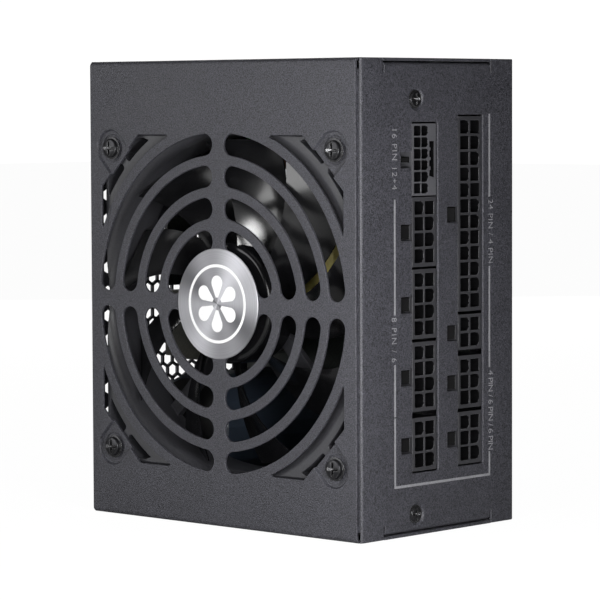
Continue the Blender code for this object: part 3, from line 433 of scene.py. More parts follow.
def spun_aluminium():
    """A lathe-turned face: fine rings, and bright and dull sectors that meet in the middle, painted into the
    colour as the reflections of spun metal.
    """
    nodes = Nodes("spun_aluminium")
    across, _, up = nodes.add("ShaderNodeSeparateXYZ", nodes.place).outputs
    flat = nodes.add("ShaderNodeCombineXYZ", across, 0.0, up).outputs[0]
    radius = nodes.add("ShaderNodeVectorMath", flat, operation="LENGTH").outputs["Value"]
    rings = nodes.add("ShaderNodeTexNoise", None, radius, 1 / (0.25 * MM), noise_dimensions="1D").outputs[0]
    angle = nodes.math("ARCTAN2", up, across)
    broad = nodes.math("SINE", nodes.math("ADD", nodes.math("MULTIPLY", angle, 2.0), -0.17))
    narrow = nodes.math("COSINE", nodes.math("MULTIPLY", angle, 6.0))
    # Painted reflection: bright and dull sectors that spun metal shows under lamps.
    sheen_wedges = nodes.math("ADD", broad, nodes.math("MULTIPLY", narrow, 0.4))
    tone = nodes.span(sheen_wedges, -1.4, 1.4, 0.1, 0.78)
    tone = nodes.math("MULTIPLY", tone, nodes.vary(rings, 0.88, 1.12))
    colour = nodes.mix(tone, grey(0.08, 1.08), grey(0.8, 1.05))
    nodes.surface(colour, nodes.vary(rings, 0.58, 0.66), 0.8, rings, 0.01 * MM, 0.5)
    return nodes


def bare_aluminium():
    return finish("bare_aluminium", grey(0.62), 0.36, 1, (0.5, 0.01), (0.1, 0.08), (0.5, grey(0.8)))


def tinned_brass():
    rubbed_and_lit = (0.85, 0.75, 0.5, 1)
    return finish("tinned_brass", (0.76, 0.72, 0.6, 1), 0.28, 1, (0.4, 0.008), (0.12, 0.1), (0.4, rubbed_and_lit))


def bronze():
    rubbed_and_lit = (0.7, 0.5, 0.3, 1)
    return finish("bronze", (0.55, 0.36, 0.16, 1), 0.42, 1, (0.3, 0.01), (0.15, 0.2), (0.3, rubbed_and_lit))


def steel():
    return finish("steel", grey(0.6), 0.25, 1, (0.4, 0.006), (0.1, 0.08), (0.4, grey(0.8)))


def ferrite():
    """Dark sintered grey with a slight olive cast."""
    rubbed_and_lit = (0.16, 0.16, 0.15, 1)
    return finish("magnet", (0.085, 0.085, 0.07, 1), 0.6, 0.1, (0.5, 0.03), (0.2, 0.25), (0.4, rubbed_and_lit))


def copper_wire():
    """Enamelled copper."""
    rubbed_and_lit = (0.8, 0.45, 0.25, 1)
    return finish("copper_wire", (0.62, 0.26, 0.1, 1), 0.3, 0.9, (0.6, 0.006), (0.2, 0.1), (0.2, rubbed_and_lit))


def board(name, mask, trace):
    """Solder mask over copper: traces show as slightly lighter tracks."""
    nodes = finish(name, mask, 0.4, 0, (0.3, 0.008), (0.1, 0.1), (0.4, (0.35, 0.3, 0.16, 1)))
    tracks = nodes.add("ShaderNodeTexVoronoi", nodes.place, distance="MANHATTAN", feature="F2")
    tracks.inputs["Scale"].default_value = 1 / (5 * MM)
    waves = nodes.math("SINE", nodes.math("MULTIPLY", tracks.outputs["Distance"], 24.0))
    nodes.overlay(nodes.span(waves, 0.2, 0.5), trace)
    return nodes


def green_board():
    return board("board", (0.004, 0.01, 0.007, 1), (0.009, 0.02, 0.013, 1))


def black_board():
    return board("black_board", (0.012, 0.014, 0.013, 1), (0.025, 0.028, 0.026, 1))


def sleeve():
    """Shrunk plastic sleeve, slate blue."""
    rubbed_and_lit = (0.2, 0.24, 0.3, 1)
    return finish("sleeve", (0.032, 0.044, 0.064, 1), 0.3, 0, (1.2, 0.006), (0.06, 0.05), (0.2, rubbed_and_lit))


def sleeve_shaded_top():
    """The slate sleeve of a capacitor, near black on the faces turned towards the fan as painted shade."""
    nodes = Nodes("sleeve_shaded_top")
    normal = nodes.add("ShaderNodeSeparateXYZ", nodes.add("ShaderNodeNewGeometry").outputs["Normal"])
    # top marks the faces turned towards the fan, which get painted shade.
    top = nodes.span(normal.outputs[1], -0.6, -0.9)
    fine = nodes.noise(0.8 * MM)
    side = nodes.mix(fine, (0.024, 0.033, 0.048, 1), (0.032, 0.042, 0.06, 1))
    top_shade = nodes.mix(fine, grey(0.006), grey(0.012))
    rough = nodes.vary(nodes.noise(4 * MM), 0.3, 0.42)
    nodes.surface(nodes.mix(top, side, top_shade), rough, 0, fine, 0.01 * MM)
    return nodes


def yellow_tape():
    """Polyester tape wound in overlapping turns."""
    rubbed_and_lit = (0.5, 0.4, 0.12, 1)
    return finish("yellow_tape", (0.78, 0.66, 0.22, 1), 0.32, 0, (0.8, 0.01), (0.12, 0.08), (0.3, rubbed_and_lit))


def film():
    return finish("film", grey(0.02), 0.3, 0, (0.6, 0.01), (0.2, 0.1), (0.2, grey(0.05)))


def earth_insulation():
    """Green insulation with a yellow stripe along the wire."""
    rubbed_and_lit = (0.3, 0.5, 0.2, 1)
    nodes = finish("earth_wire", (0.08, 0.32, 0.04, 1), 0.42, 0, (0.4, 0.008), (0.1, 0.08), (0.2, rubbed_and_lit))
    stripe = nodes.add("ShaderNodeTexWave", nodes.place, 60.0, wave_profile="SIN", bands_direction="DIAGONAL")
    nodes.overlay(nodes.span(stripe.outputs[1], 0.6, 0.65), (0.75, 0.62, 0.05, 1))
    return nodes


def printed_ink():
    """Silk-screened light grey ink, thin enough for the paint's grain to show."""
    return finish("printed_ink", grey(0.22, 1.06), 0.55, 0, (0.26, 0.03), (0.05, 0.25))


def white_paint():
    return finish("white_paint", grey(0.85), 0.4, 0, (0.3, 0.006), (0.04, 0.05))


def glass():
    nodes = finish("fuse_glass", (0.9, 0.93, 0.9, 1), 0.1, 0, (2, 0.003), (0.03, 0))
    nodes.shader.inputs["Transmission Weight"].default_value = 0.9
    return nodes


# ---- outlines and meshes
def place(axis, u, v, along):
    """A point from two coordinates across an axis, in X, Y, Z order, and one along it."""
    return {"X": (along, u, v), "Y": (u, along, v), "Z": (u, v, along)}[axis]


def rectangle(u0, u1, v0, v1):
    return [(u0, v0), (u1, v0), (u1, v1), (u0, v1)]


def box_outline(u, v, half, gap=0.0):
    return rectangle(u - half[0] - gap, u + half[0] + gap, v - half[1] - gap, v + half[1] + gap)


def polar(radius, angle, centre=(0, 0)):
    """The point at a radius and an angle in degrees."""
    turn = math.radians(angle)
    return centre[0] + radius * math.cos(turn), centre[1] + radius * math.sin(turn)


def arc(radius, start, end, steps, centre=(0, 0)):
    """Points along an arc, in degrees, both ends included."""
    return [polar(radius, start + (end - start) * i / steps, centre) for i in range(steps + 1)]


def circle(centre, radius, steps=24):
    return arc(radius, 0, 360, steps, centre)[:-1]


def rounded(points, radii, steps=5):
    """The outline with each corner replaced by an arc; radii is one radius, or one for each corner."""
    made = []
    for i, corner in enumerate(points):
        radius = radii[i] if isinstance(radii, (list, tuple)) else radii
        here = Vector(corner)
        come = (Vector(points[i - 1]) - here).normalized()
        go = (Vector(points[(i + 1) % len(points)]) - here).normalized()
        half = come.angle(go) / 2
        first = here + come * radius / math.tan(half)
        last = here + go * radius / math.tan(half)
        centre = here + (come + go).normalized() * radius / math.sin(half)
        for k in range(steps + 1):
            spoke = (first.lerp(last, k / steps) - centre).normalized()
            made.append(tuple(centre + spoke * radius))
    return made


def left_of(way):
    return Vector((-way.y, way.x))


def bent_sheet(corners, radius, steps=8):
    """Outline of a sheet with square bends to the left; the corners lie on its outer side."""
    path = [Vector(c) for c in corners]
    ways = [(b - a).normalized() for a, b in zip(path, path[1:])]
    outer = [tuple(path[0])]
    inner = [tuple(path[0] + left_of(ways[0]) * SHEET)]
    for corner, come, go in zip(path[1:], ways, ways[1:]):
        centre = corner + (go - come) * radius
        start = math.degrees(math.atan2(-go.y, -go.x))
        outer += arc(radius, start, start + 90, steps, centre)
        inner += arc(radius - SHEET, start, start + 90, steps, centre)
    outer.append(tuple(path[-1]))
    inner.append(tuple(path[-1] + left_of(ways[-1]) * SHEET))
    return outer + inner[::-1]


def corners_of(u, v):
    return [(u, v), (-u, v), (-u, -v), (u, -v)]


def hexagon(centre, flats):
    return [(centre[0] + x, centre[1] + z) for z, x in circle((0, 0), flats / math.sqrt(3), 6)]


def mesh_of(bm):
    """A mesh whose faces point out, made from a bmesh that is then freed."""
    bmesh.ops.recalc_face_normals(bm, faces=bm.faces)
    mesh = bpy.data.meshes.new("shape")
    bm.to_mesh(mesh)
    bm.free()
    return mesh


def add_loft(bm, axis, levels):
    """Adds a closed shape; levels is a list of (outline, along), all outlines with as many points."""
    rings = [[bm.verts.new(place(axis, u, v, along)) for u, v in outline] for outline, along in levels]
    bm.faces.new(rings[0])
    bm.faces.new(rings[-1])
    for first, second in zip(rings, rings[1:]):
        for i in range(len(first)):
            j = (i + 1) % len(first)
            bm.faces.new((first[i], first[j], second[j], second[i]))


def loft(axis, levels):
    bm = bmesh.new()
    add_loft(bm, axis, levels)
    return mesh_of(bm)


def prism(axis, outlines, low, high):
    """One mesh of straight-sided bars; outlines is a list of closed outlines across the axis."""
    bm = bmesh.new()
    for outline in outlines:
        add_loft(bm, axis, [(outline, low), (outline, high)])
    return mesh_of(bm)


def block(low, high):
    return prism("Z", [rectangle(low[0], high[0], low[1], high[1])], low[2], high[2])


def plate(spot, half, radius, low, high, steps=5):
    """A slab across X around a spot; radius rounds its corners."""
    return prism("X", [rounded(box_outline(spot.y, spot.z, half), radius, steps)], low, high)


def turned(axis, profile, steps=48):
    """A turned shape; a profile of (radius, along) that starts and ends on the axis is solid."""
    bm = bmesh.new()
    rings = []
    for radius, along in profile:
        points = [(0, 0)] if radius == 0 else circle((0, 0), radius, steps)
        rings.append([bm.verts.new(place(axis, u, v, along)) for u, v in points])
    solid = profile[0][0] == 0
    for first, second in zip(rings, rings[1:] if solid else rings[1:] + rings[:1]):
        for i in range(steps):
            j = (i + 1) % steps
            near = [first[i % len(first)], first[j % len(first)]]
            far = [second[j % len(second)], second[i % len(second)]]
            bm.faces.new(list(dict.fromkeys(near + far)))
    return mesh_of(bm)


# ---- pieces
def put(name, data, at=(0, 0, 0), turn=(0, 0, 0)):
    """A new object in the scene that holds a mesh, a light or other data."""
    made = bpy.data.objects.new(name, data)
    made.location = at
    made.rotation_euler = turn
    bpy.context.scene.collection.objects.link(made)
    return made


def boolean(target, operation, mesh, at, turn):
    helper = put(f"helper_{target.name}_{len(target.modifiers)}", mesh, at, turn)
    helper.hide_render = True
    change = target.modifiers.new(helper.name, "BOOLEAN")
    change.operation = operation
    change.object = helper
    change.solver = "EXACT"


def cut(target, mesh, at=(0, 0, 0), turn=(0, 0, 0)):
    boolean(target, "DIFFERENCE", mesh, at, turn)


def join(target, mesh, at=(0, 0, 0), turn=(0, 0, 0)):
    boolean(target, "UNION", mesh, at, turn)


def plain_mesh(target):
    """A mesh of what target looks like, with its modifiers or its letters worked out."""
    bpy.context.view_layer.update()
    return bpy.data.meshes.new_from_object(target.evaluated_get(bpy.context.evaluated_depsgraph_get()))


def settle(target):
    """Turns the Booleans of target into plain mesh and removes their helpers."""
    helpers = [change.object for change in target.modifiers]
    shape = plain_mesh(target)
    target.modifiers.clear()
    target.data = shape
    for helper in helpers:
        bpy.data.objects.remove(helper)


def mark_edges(target, angle, crisp):
    """Gives every sharp edge a bevel weight, apart from those whose middle crisp() claims."""
    bm = bmesh.new()
    bm.from_mesh(target.data)
    weight = bm.edges.layers.float.new("bevel_weight_edge")
    for edge in bm.edges:
        centre = (edge.verts[0].co + edge.verts[1].co) / 2
        edge[weight] = float(edge.calc_face_angle(0) > math.radians(angle) and not crisp(centre))
    bm.to_mesh(target.data)
    bm.free()


def soften(target, width, segments=2, angle=35, crisp=None):
    """Rounds the sharp edges and keeps the flat faces flat."""
    change = target.modifiers.new("edge", "BEVEL")
    change.width = width
    change.segments = segments
    change.limit_method = "ANGLE"
    change.angle_limit = math.radians(angle)
    if crisp:
        mark_edges(target, angle, crisp)
        change.limit_method = "WEIGHT"
    change.use_clamp_overlap = False
    change.harden_normals = True


def recoat(target, coat):
    """Gives a piece one material in place of those it had."""
    target.data.materials.clear()
    target.data.materials.append(coat)


def dress(target, coat, stands_for=(), edge=0.0, segments=2, angle=35, crisp=None, body="case"):
    """Settles a piece's shape, paints it, rounds its edges and ties it to its CAD body."""
    if target.modifiers:
        settle(target)
    recoat(target, coat)
    target.data.shade_smooth()
    target.data.set_sharp_from_angle(angle=math.radians(angle))
    if edge:
        soften(target, edge, segments, angle, crisp)
    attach(target, body)
    if stands_for:
        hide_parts(*stands_for)
    return target


# ---- case
def grille_slot(ring, quadrant):
    """One slot of the grille, as points around the fan's axis."""
    outer = RING_OUTER - ring * RING_PITCH
    middle_radius = outer - SLOT / 2
    inset = math.degrees(math.asin((SPOKE + SLOT) / 2 / middle_radius))
    first, last = 90 * quadrant + inset, 90 * quadrant + 90 - inset
    steps = 30 - 5 * ring
    outline = arc(outer, first, last, steps)
    outline += arc(SLOT / 2, last, last + 180, 12, polar(middle_radius, last))[1:-1]
    outline += arc(outer - SLOT, last, first, steps)
    outline += arc(SLOT / 2, first + 180, first + 360, 12, polar(middle_radius, first))[1:-1]
    return outline


def corner_window(across, up):
    """The opening in one corner of the grille, between the rings and the fan screw's pad."""
    low = math.degrees(math.acos(WINDOW_SIDE / WINDOW_ARC))
    high = math.degrees(math.asin(WINDOW_TOP / WINDOW_ARC))
    points = arc(WINDOW_ARC, high - TIP, low + TIP, 20)
    side = WINDOW_ARC * math.sin(math.radians(low + 2 * TIP))
    top = WINDOW_ARC * math.cos(math.radians(high - 2 * TIP))
    points += [(WINDOW_SIDE, side), (WINDOW_SIDE, WINDOW_DIAGONAL - WINDOW_SIDE)]
    points += [(WINDOW_DIAGONAL - WINDOW_TOP, WINDOW_TOP), (top, WINDOW_TOP)]
    return [(across * x, up * z) for x, z in points]


def pad(screw, grow):
    """Half a disc round a screw, with a strip as wide as the disc that runs towards the fan's axis."""
    radius = PAD_RADIUS + grow
    angle = math.degrees(math.atan2(screw[1], screw[0]))
    inward = -Vector(screw).normalized()
    ends = [Vector(screw) + inward * PAD_REACH + left_of(inward) * side * radius for side in (-1, 1)]
    return arc(radius, angle - 90, angle + 90, 28, screw) + [tuple(end) for end in ends]


def fan_cover(coat):
    path = [(Y_BACK, HEIGHT - LIP), (Y_BACK, HEIGHT), (Y_FACE, HEIGHT)]
    path += [(Y_FACE, 0), (Y_BACK, 0), (Y_BACK, LIP)]
    cover = put("fan_cover_sheet", prism("X", [bent_sheet(path, BEND)], -X_END, X_END))
    for end in (-1, 1):
        edge, past = sorted((end * COVER_X, end * (X_END + MM)))
        for side in (-1, 1):
            near, far = sorted((side * FLAP, side * (Y_BACK + MM)))
            cut(cover, block((edge, near, -MM), (past, far, HEIGHT + MM)))
    screws = corners_of(FAN_HOLE, FAN_HOLE)
    for screw in screws:
        grown = pad(screw, SHEET * 0.7 + PAD_SLOPE)
        floor = pad(screw, SHEET * 0.7)
        join(cover, loft("Y", [(grown, Y_FACE + SHEET / 2), (floor, Y_FACE + PAD_DEPTH + SHEET)]), CENTRE)
    for screw in screws:
        wide = pad(screw, PAD_SLOPE * (PAD_DEPTH + MM) / PAD_DEPTH)
        cut(cover, loft("Y", [(wide, Y_FACE - MM), (pad(screw, 0), Y_FACE + PAD_DEPTH)]), CENTRE)
        dimple = circle(screw, DIMPLE_RADIUS, 40)
        cut(cover, prism("Y", [dimple], Y_FACE, Y_FACE + PAD_DEPTH + DIMPLE_DEPTH), CENTRE)
    openings = [grille_slot(ring, quadrant) for ring in range(RINGS) for quadrant in range(4)]
    openings += [corner_window(across, up) for across, up in corners_of(1, 1)]
    openings += [circle(screw, SCREW_HOLE) for screw in screws]
    cut(cover, prism("Y", openings, Y_FACE - MM, Y_FACE + 3 * MM), CENTRE)
    for _, across, level, turn in CASE_SCREWS:
        cut(cover, turned("Z", COUNTERSINK, 32), (across, 0, level), turn)
    return dress(cover, coat, ["fan_cover"], 0.2 * MM)


def socket_box(name):
    """Column centre along Y, middle along Z, half height and face along X of one socket."""
    low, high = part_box(name)
    return high.y - SOCKET_WIDTH / 2, (low.z + high.z) / 2, (high.z - low.z) / 2, high.x


def column_cutout(column):
    """The opening for one column of sockets: a notch with a flared mouth stands beside each socket."""
    boxes = [socket_box(name) for name in column]
    centre = boxes[0][0]
    low = boxes[-1][1] - boxes[-1][2] - SOCKET_GAP
    high = boxes[0][1] + boxes[0][2] + SOCKET_GAP
    near, far = centre - SOCKET_WIDTH / 2 - SOCKET_GAP, centre + SOCKET_WIDTH / 2 + SOCKET_GAP
    outline = [(near, low), (far, low), (far, high), (near, high)]
    radii = [0.4 * MM] * 4
    for _, z, _, _ in boxes:
        upper, lower = z + NOTCH_WIDTH / 2, z - NOTCH_WIDTH / 2
        outline += [(near, upper), (near - NOTCH_DEPTH, upper), (near - NOTCH_DEPTH, lower), (near, lower)]
        radii += [0.7 * MM, 0.15 * MM, 0.15 * MM, 0.7 * MM]
    return rounded(outline, radii, 4)


def vent_holes():
    """Centres of the vent's hexagonal holes."""
    row_pitch = VENT_PITCH * math.sqrt(3) / 2
    made = []
    for row in range(VENT_ROWS):
        z = VENT_LOW + row * row_pitch
        for column in range(-VENT_SIDE, VENT_SIDE + 1):
            y = VENT_Y + (column + row % 2 / 2) * VENT_PITCH
            beside_well = z > VENT_SPLIT and y > VENT_SPLIT_Y
            if abs(y) < VENT_REACH and not beside_well:
                made.append((y, z))
    return made


VENT = vent_holes()


def in_vent(spot):
    """True on the edges of the vent's holes, which stay as crisp as they are punched."""
    if spot.x > -X_END + 2 * SHEET:
        return False
    return any(math.hypot(spot.y - y, spot.z - z) < 0.6 * VENT_HOLE for y, z in VENT)


def add_tabs(chassis):
    """Clears the chassis' upper and lower edges for the cover and folds a tab in at each end of both."""
    inner = X_END - SHEET + 0.02 * MM
    for low, high, notch_low, notch_high in (
        (-MM, BACK_MARGIN, -MM, BACK_MARGIN + MM),
        (HEIGHT - BACK_MARGIN, HEIGHT + MM, HEIGHT - BACK_MARGIN - MM, HEIGHT + MM),
    ):
        cut(chassis, block((-inner, -Y_BACK - MM, low), (inner, Y_BACK + MM, high)))
        cut(chassis, block((-X_END - MM, -FLAP, notch_low), (X_END + MM, FLAP, notch_high)))
    top, bottom = HEIGHT - TAB_DROP, TAB_DROP
    ledge = X_END - TAB_LENGTH
    for end in (-1, 1):
        outer = PANEL if end > 0 else X_END
        channel = [(end * ledge, bottom), (end * outer, bottom), (end * outer, top), (end * ledge, top)]
        outline = bent_sheet(channel if end > 0 else channel[::-1], FOLD)
        join(chassis, prism("Y", [outline], -FLAP + TAB_NOTCH, FLAP - TAB_NOTCH))
    screws = [circle((end * CASE_SCREW_X, 0), TAB_HOLE) for end in (-1, 1)]
    cut(chassis, prism("Z", screws, bottom - MM, bottom + 3 * MM))
    cut(chassis, prism("Z", screws, top - 3 * MM, top + MM))


def open_output_end(chassis):
    columns = [column_cutout(NEAR_COLUMN), column_cutout(FAR_COLUMN)]
    cut(chassis, prism("X", columns, X_END - 3 * MM, X_END + MM))
    for name in PANEL_SCREWS:
        spot = middle(name)
        cut(chassis, turned("X", COUNTERSINK, 32), (X_END, spot.y, spot.z))


def open_mains_end(chassis):
    """The sunk well with holes for the inlet and the switch, the vent and the holes for the case's screws."""
    shell = rectangle(WELL_Y[0] - SHEET, WELL_Y[1] + SHEET, WELL_Z[0] - SHEET, WELL_Z[1] + SHEET)
    shell = rounded(shell, WELL_CORNER + SHEET, 8)
    join(chassis, prism("X", [shell], -X_END + SHEET / 2, WELL_FLOOR + SHEET))
    well = rounded(rectangle(*WELL_Y, *WELL_Z), WELL_CORNER, 8)
    cut(chassis, prism("X", [well], -X_END - MM, WELL_FLOOR))
    openings = [rounded(box_outline(INLET.y, INLET.z, INLET_BODY, HOLE_GAP), MM)]
    openings.append(rounded(box_outline(BEZEL.y, BEZEL.z, BEZEL_BODY, HOLE_GAP), MM))
    openings += [hexagon(centre, VENT_HOLE) for centre in VENT]
    openings += [circle((y, HEIGHT / 2 + z), CASE_HOLE, 20) for y, z in corners_of(CASE_HOLE_Y, CASE_HOLE_Z)]
    cut(chassis, prism("X", openings, -X_END - MM, WELL_FLOOR + 2 * MM))


def add_standoffs(chassis):
    """Four hollow cones pressed out of the back plate, which carry the main board."""
    board_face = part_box("main_board")[1].y
    cone = [(0, Y_BACK - SHEET / 2), (3.6 * MM, Y_BACK - SHEET / 2), (2.8 * MM, board_face + CLEAR)]
    cone.append((0, board_face + CLEAR))
    hole = circle((0, 0), STANDOFF_HOLE, 20)
    for i in range(4):
        spot = middle(f"board_screw_{i + 1}")
        join(chassis, turned("Y", cone, 24), (spot.x, 0, spot.z))
        cut(chassis, prism("Y", [hole], board_face - MM, Y_BACK + MM), (spot.x, 0, spot.z))


def base_chassis(coat):
    returned = X_END - RETURN
    path = [(returned, RETURN_Y), (PANEL, RETURN_Y), (PANEL, Y_BACK), (-X_END, Y_BACK), (-X_END, RETURN_Y)]
    path.append((-returned, RETURN_Y))
    chassis = put("chassis_sheet", prism("Z", [bent_sheet(path, FOLD)], 0, HEIGHT))
    add_tabs(chassis)
    open_output_end(chassis)
    open_mains_end(chassis)
    add_standoffs(chassis)
    dress(chassis, coat, ["base_chassis"], 0.25 * MM, 3, crisp=in_vent)


# ---- fan
def within(value, limit):
    return max(-limit, min(limit, value))


def corner_slots():
    """The two openings either side of the rib in each corner of the frame; the frame's sides stay whole."""
    made = []
    for corner in range(4):
        for side in (-1, 1):
            near = 90 * corner + 45 + side * RIB_ANGLE
            far = 90 * corner + 45 + side * SLOT_ANGLE
            outline = arc(FRAME_SLOT_OUTER, near, far, 6)
            outline += arc(FRAME_SLOT_INNER, far, near, 6)
            outline = [(within(u, FRAME_SLOT_REACH), within(v, FRAME_SLOT_REACH)) for u, v in outline]
            ends = [FRAME_SLOT_END] + [0] * 12 + [FRAME_SLOT_END]
            made.append(rounded(outline, ends))
    return made


def add_motor_seat(housing):
    """Four arms from the corners to a plate behind the hub, with a tube for the bearing."""
    spread = math.degrees(math.asin(ARM_WIDTH / 2 / MOTOR_SEAT))
    tip = math.degrees(math.asin(ARM_WIDTH / 2 / ARM_REACH))
    spider = []
    for angle in (45, 135, 225, 315):
        spider += arc(ARM_REACH, angle - tip, angle + tip, 1)
        spider += arc(MOTOR_SEAT, angle + spread, angle + 90 - spread, 12)
    join(housing, prism("Y", [spider], FAN_BACK - SEAT_THICK, FAN_BACK), CENTRE)
    low = FAN_BACK - SEAT_THICK / 2
    inner, outer = TUBE
    tube = [(0, low), (outer, low), (outer, TUBE_FRONT), (inner, TUBE_FRONT), (inner, low - MM / 2)]
    join(housing, turned("Y", tube + [(0, low - MM / 2)], 32), CENTRE)


def shade_slots(housing, shaded):
    """Paints shade on the walls of the corner slots with the duller copy of the frame's plastic."""
    housing.data.materials.append(shaded)
    for side in housing.data.polygons:
        across, along, up = side.center
        around = math.hypot(across, up) > FRAME_SLOT_INNER - 0.2 * MM
        within_frame = max(abs(across), abs(up)) < FRAME_SLOT_REACH + 0.1 * MM
        if around and within_frame and along > FAN_FRONT + 0.3 * MM:
            side.material_index = 1


def fan_frame(coat, shaded):
    outline = rounded(corners_of(FAN_HALF, FAN_HALF), FAN_CORNER, 8)
    front = rounded(corners_of(FAN_HALF - FRAME_EDGE, FAN_HALF - FRAME_EDGE), FAN_CORNER - FRAME_EDGE, 8)
    levels = [(front, FAN_FRONT), (outline, FAN_FRONT + FRAME_EDGE)]
    levels += [(outline, FAN_BACK - FRAME_EDGE), (front, FAN_BACK)]
    housing = put("fan_housing", loft("Y", levels), CENTRE)
    cut(housing, prism("Y", corner_slots(), FAN_FRONT - MM, FAN_BACK + MM), CENTRE)
    bell = MOUTH_RADIUS - DUCT_RADIUS
    duct = [(0, FAN_FRONT - MM), (MOUTH_RADIUS, FAN_FRONT - MM)]
    duct += arc(bell, 270, 180, 8, (MOUTH_RADIUS, FAN_FRONT + bell))
    duct += [(DUCT_RADIUS, FAN_BACK + MM), (0, FAN_BACK + MM)]
    cut(housing, turned("Y", duct, 128), CENTRE)
    add_motor_seat(housing)
    holes = [circle(screw, SCREW_HOLE, 20) for screw in corners_of(FAN_HOLE, FAN_HOLE)]
    cut(housing, prism("Y", holes, FAN_FRONT - MM, FAN_BACK + MM), CENTRE)
    dress(housing, coat, ["fan_frame"], 0.2 * MM)
    shade_slots(housing, shaded)


def add_blade(bm, root):
    """One swept blade from the hub to its tip; root is its leading edge's angle at the tip, in degrees."""
    skins = []
    for lift in (-BLADE_HALF, BLADE_HALF):
        skin = []
        for i in range(BLADE_ROWS):
            radius = BLADE_ROOT + (BLADE_TIP - BLADE_ROOT) * i / (BLADE_ROWS - 1)
            sweep = BLADE_SWEEP * (BLADE_TIP - radius) / (BLADE_TIP - HUB_RADIUS)
            row = []
            for j in range(BLADE_COLUMNS):
                share = j / (BLADE_COLUMNS - 1)
                angle = math.radians(root - sweep - BLADE_CHORD * share)
                depth = BLADE_FRONT + BLADE_RISE * math.sin(math.radians(BLADE_CURVE) * share)
                thick = lift * (0.35 + 0.65 * math.sqrt(max(0.0, 1 - (2 * share - 1) ** 2)))
                row.append(bm.verts.new((radius * math.cos(angle), depth + thick, radius * math.sin(angle))))
            skin.append(row)
        skins.append(skin)
    front, back = skins
    for skin in skins:
        for i in range(BLADE_ROWS - 1):
            for j in range(BLADE_COLUMNS - 1):
                bm.faces.new((skin[i][j], skin[i + 1][j], skin[i + 1][j + 1], skin[i][j + 1]))
    rim = [(i, 0) for i in range(BLADE_ROWS)]
    rim += [(BLADE_ROWS - 1, j) for j in range(1, BLADE_COLUMNS)]
    rim += [(i, BLADE_COLUMNS - 1) for i in range(BLADE_ROWS - 2, -1, -1)]
    rim += [(0, j) for j in range(BLADE_COLUMNS - 2, 0, -1)]
    for (i, j), (k, m) in zip(rim, rim[1:] + rim[:1]):
        bm.faces.new((front[i][j], front[k][m], back[k][m], back[i][j]))


def fan_impeller(coat):
    """A cup with a rounded rim and a sleeve for the shaft, and blades around it."""
    rim = arc(HUB_CORNER, 180, 90, 6, (HUB_FRONT + HUB_CORNER, HUB_RADIUS - HUB_CORNER))
    wall, face = HUB_RADIUS - HUB_WALL, HUB_FRONT + HUB_FACE
    collar, collar_end, hole_end = HUB_SLEEVE[0], HUB_FRONT + HUB_SLEEVE[1], HUB_FRONT + MM
    cup = [(0, HUB_FRONT)] + [(radius, along) for along, radius in rim] + [(HUB_RADIUS, HUB_BACK)]
    cup += [(wall, HUB_BACK), (wall, face + HUB_CHAMFER[1]), (wall - HUB_CHAMFER[0], face), (collar, face)]
    cup += [(collar, collar_end), (SHAFT_HOLE, collar_end), (SHAFT_HOLE, hole_end), (0, hole_end)]
    hub = put("fan_rotor", turned("Y", cup, 96), CENTRE)
    bm = bmesh.new()
    for i in range(BLADES):
        add_blade(bm, FIRST_BLADE + i * 360 / BLADES)
    join(hub, mesh_of(bm), CENTRE)
    return dress(hub, coat, ["fan_impeller"], angle=40, body="impeller")


def petal(turn):
    """One fan blade of the printed sign: a bowed drop from near the middle out to the ring."""
    root, half = PETAL_ROOT
    points = [(root, -half)] + arc(PETAL_RADIUS, -100, 120, 14, (PETAL_AT, 0)) + [(root, half)]
    across, up = math.cos(turn), math.sin(turn)
    return [(u * across - v * up, u * up + v * across) for u, v in points]


def badge(metal, paint):
    """A spun disc with a turned rim, and a plain rotor sign in a ring printed on it."""
    front, back = badge_low.y, badge_high.y
    face = front + PRINT
    profile = [(0, back), (BADGE_RADIUS, back), (BADGE_RADIUS, face + 0.3 * MM)]
    profile += [(BADGE_RADIUS - 0.15 * MM, face + 0.1 * MM), (BADGE_RADIUS - 0.5 * MM, face), (0, face)]
    disc = put("badge_disc", turned("Y", profile, 128), CENTRE)
    dress(disc, metal, ["badge"], angle=30)
    under = face + SIGN_HEIGHT
    sign = [petal(math.radians(30 + 360 * i / PETALS)) for i in range(PETALS)]
    dress(put("badge_sign", prism("Y", sign, front, under), CENTRE), paint)
    inner, outer = SIGN_RING
    rim = [(outer, front), (inner, front), (inner, under), (outer, under)]
    dress(put("badge_ring", turned("Y", rim, 96), CENTRE), paint)


# ---- fasteners
def cross_recess(axis, size, top, deep):
    """A tapered cross for a screwdriver."""
    half = size * ARM_SHARE
    wide = [(size, half), (half, half), (half, size), (-half, size), (-half, half), (-size, half)]
    wide += [(-u, -v) for u, v in wide]
    point = [(u * POINT_SHARE, v * POINT_SHARE) for u, v in wide]
    mouth = [(u * MOUTH_SHARE, v * MOUTH_SHARE) for u, v in wide]
    step = deep if axis == "Y" else -deep
    return loft(axis, [(mouth, top - step * 0.25), (point, top + step)])


def screw_piece(name, mesh, axis, at, turn, coat, top, cross):
    screw = put(f"{name}_turned", mesh, at, turn)
    cut(screw, cross_recess(axis, cross, top, cross * 0.75), at, turn)
    return dress(screw, coat, [name], 0.06 * MM, 2, 30)


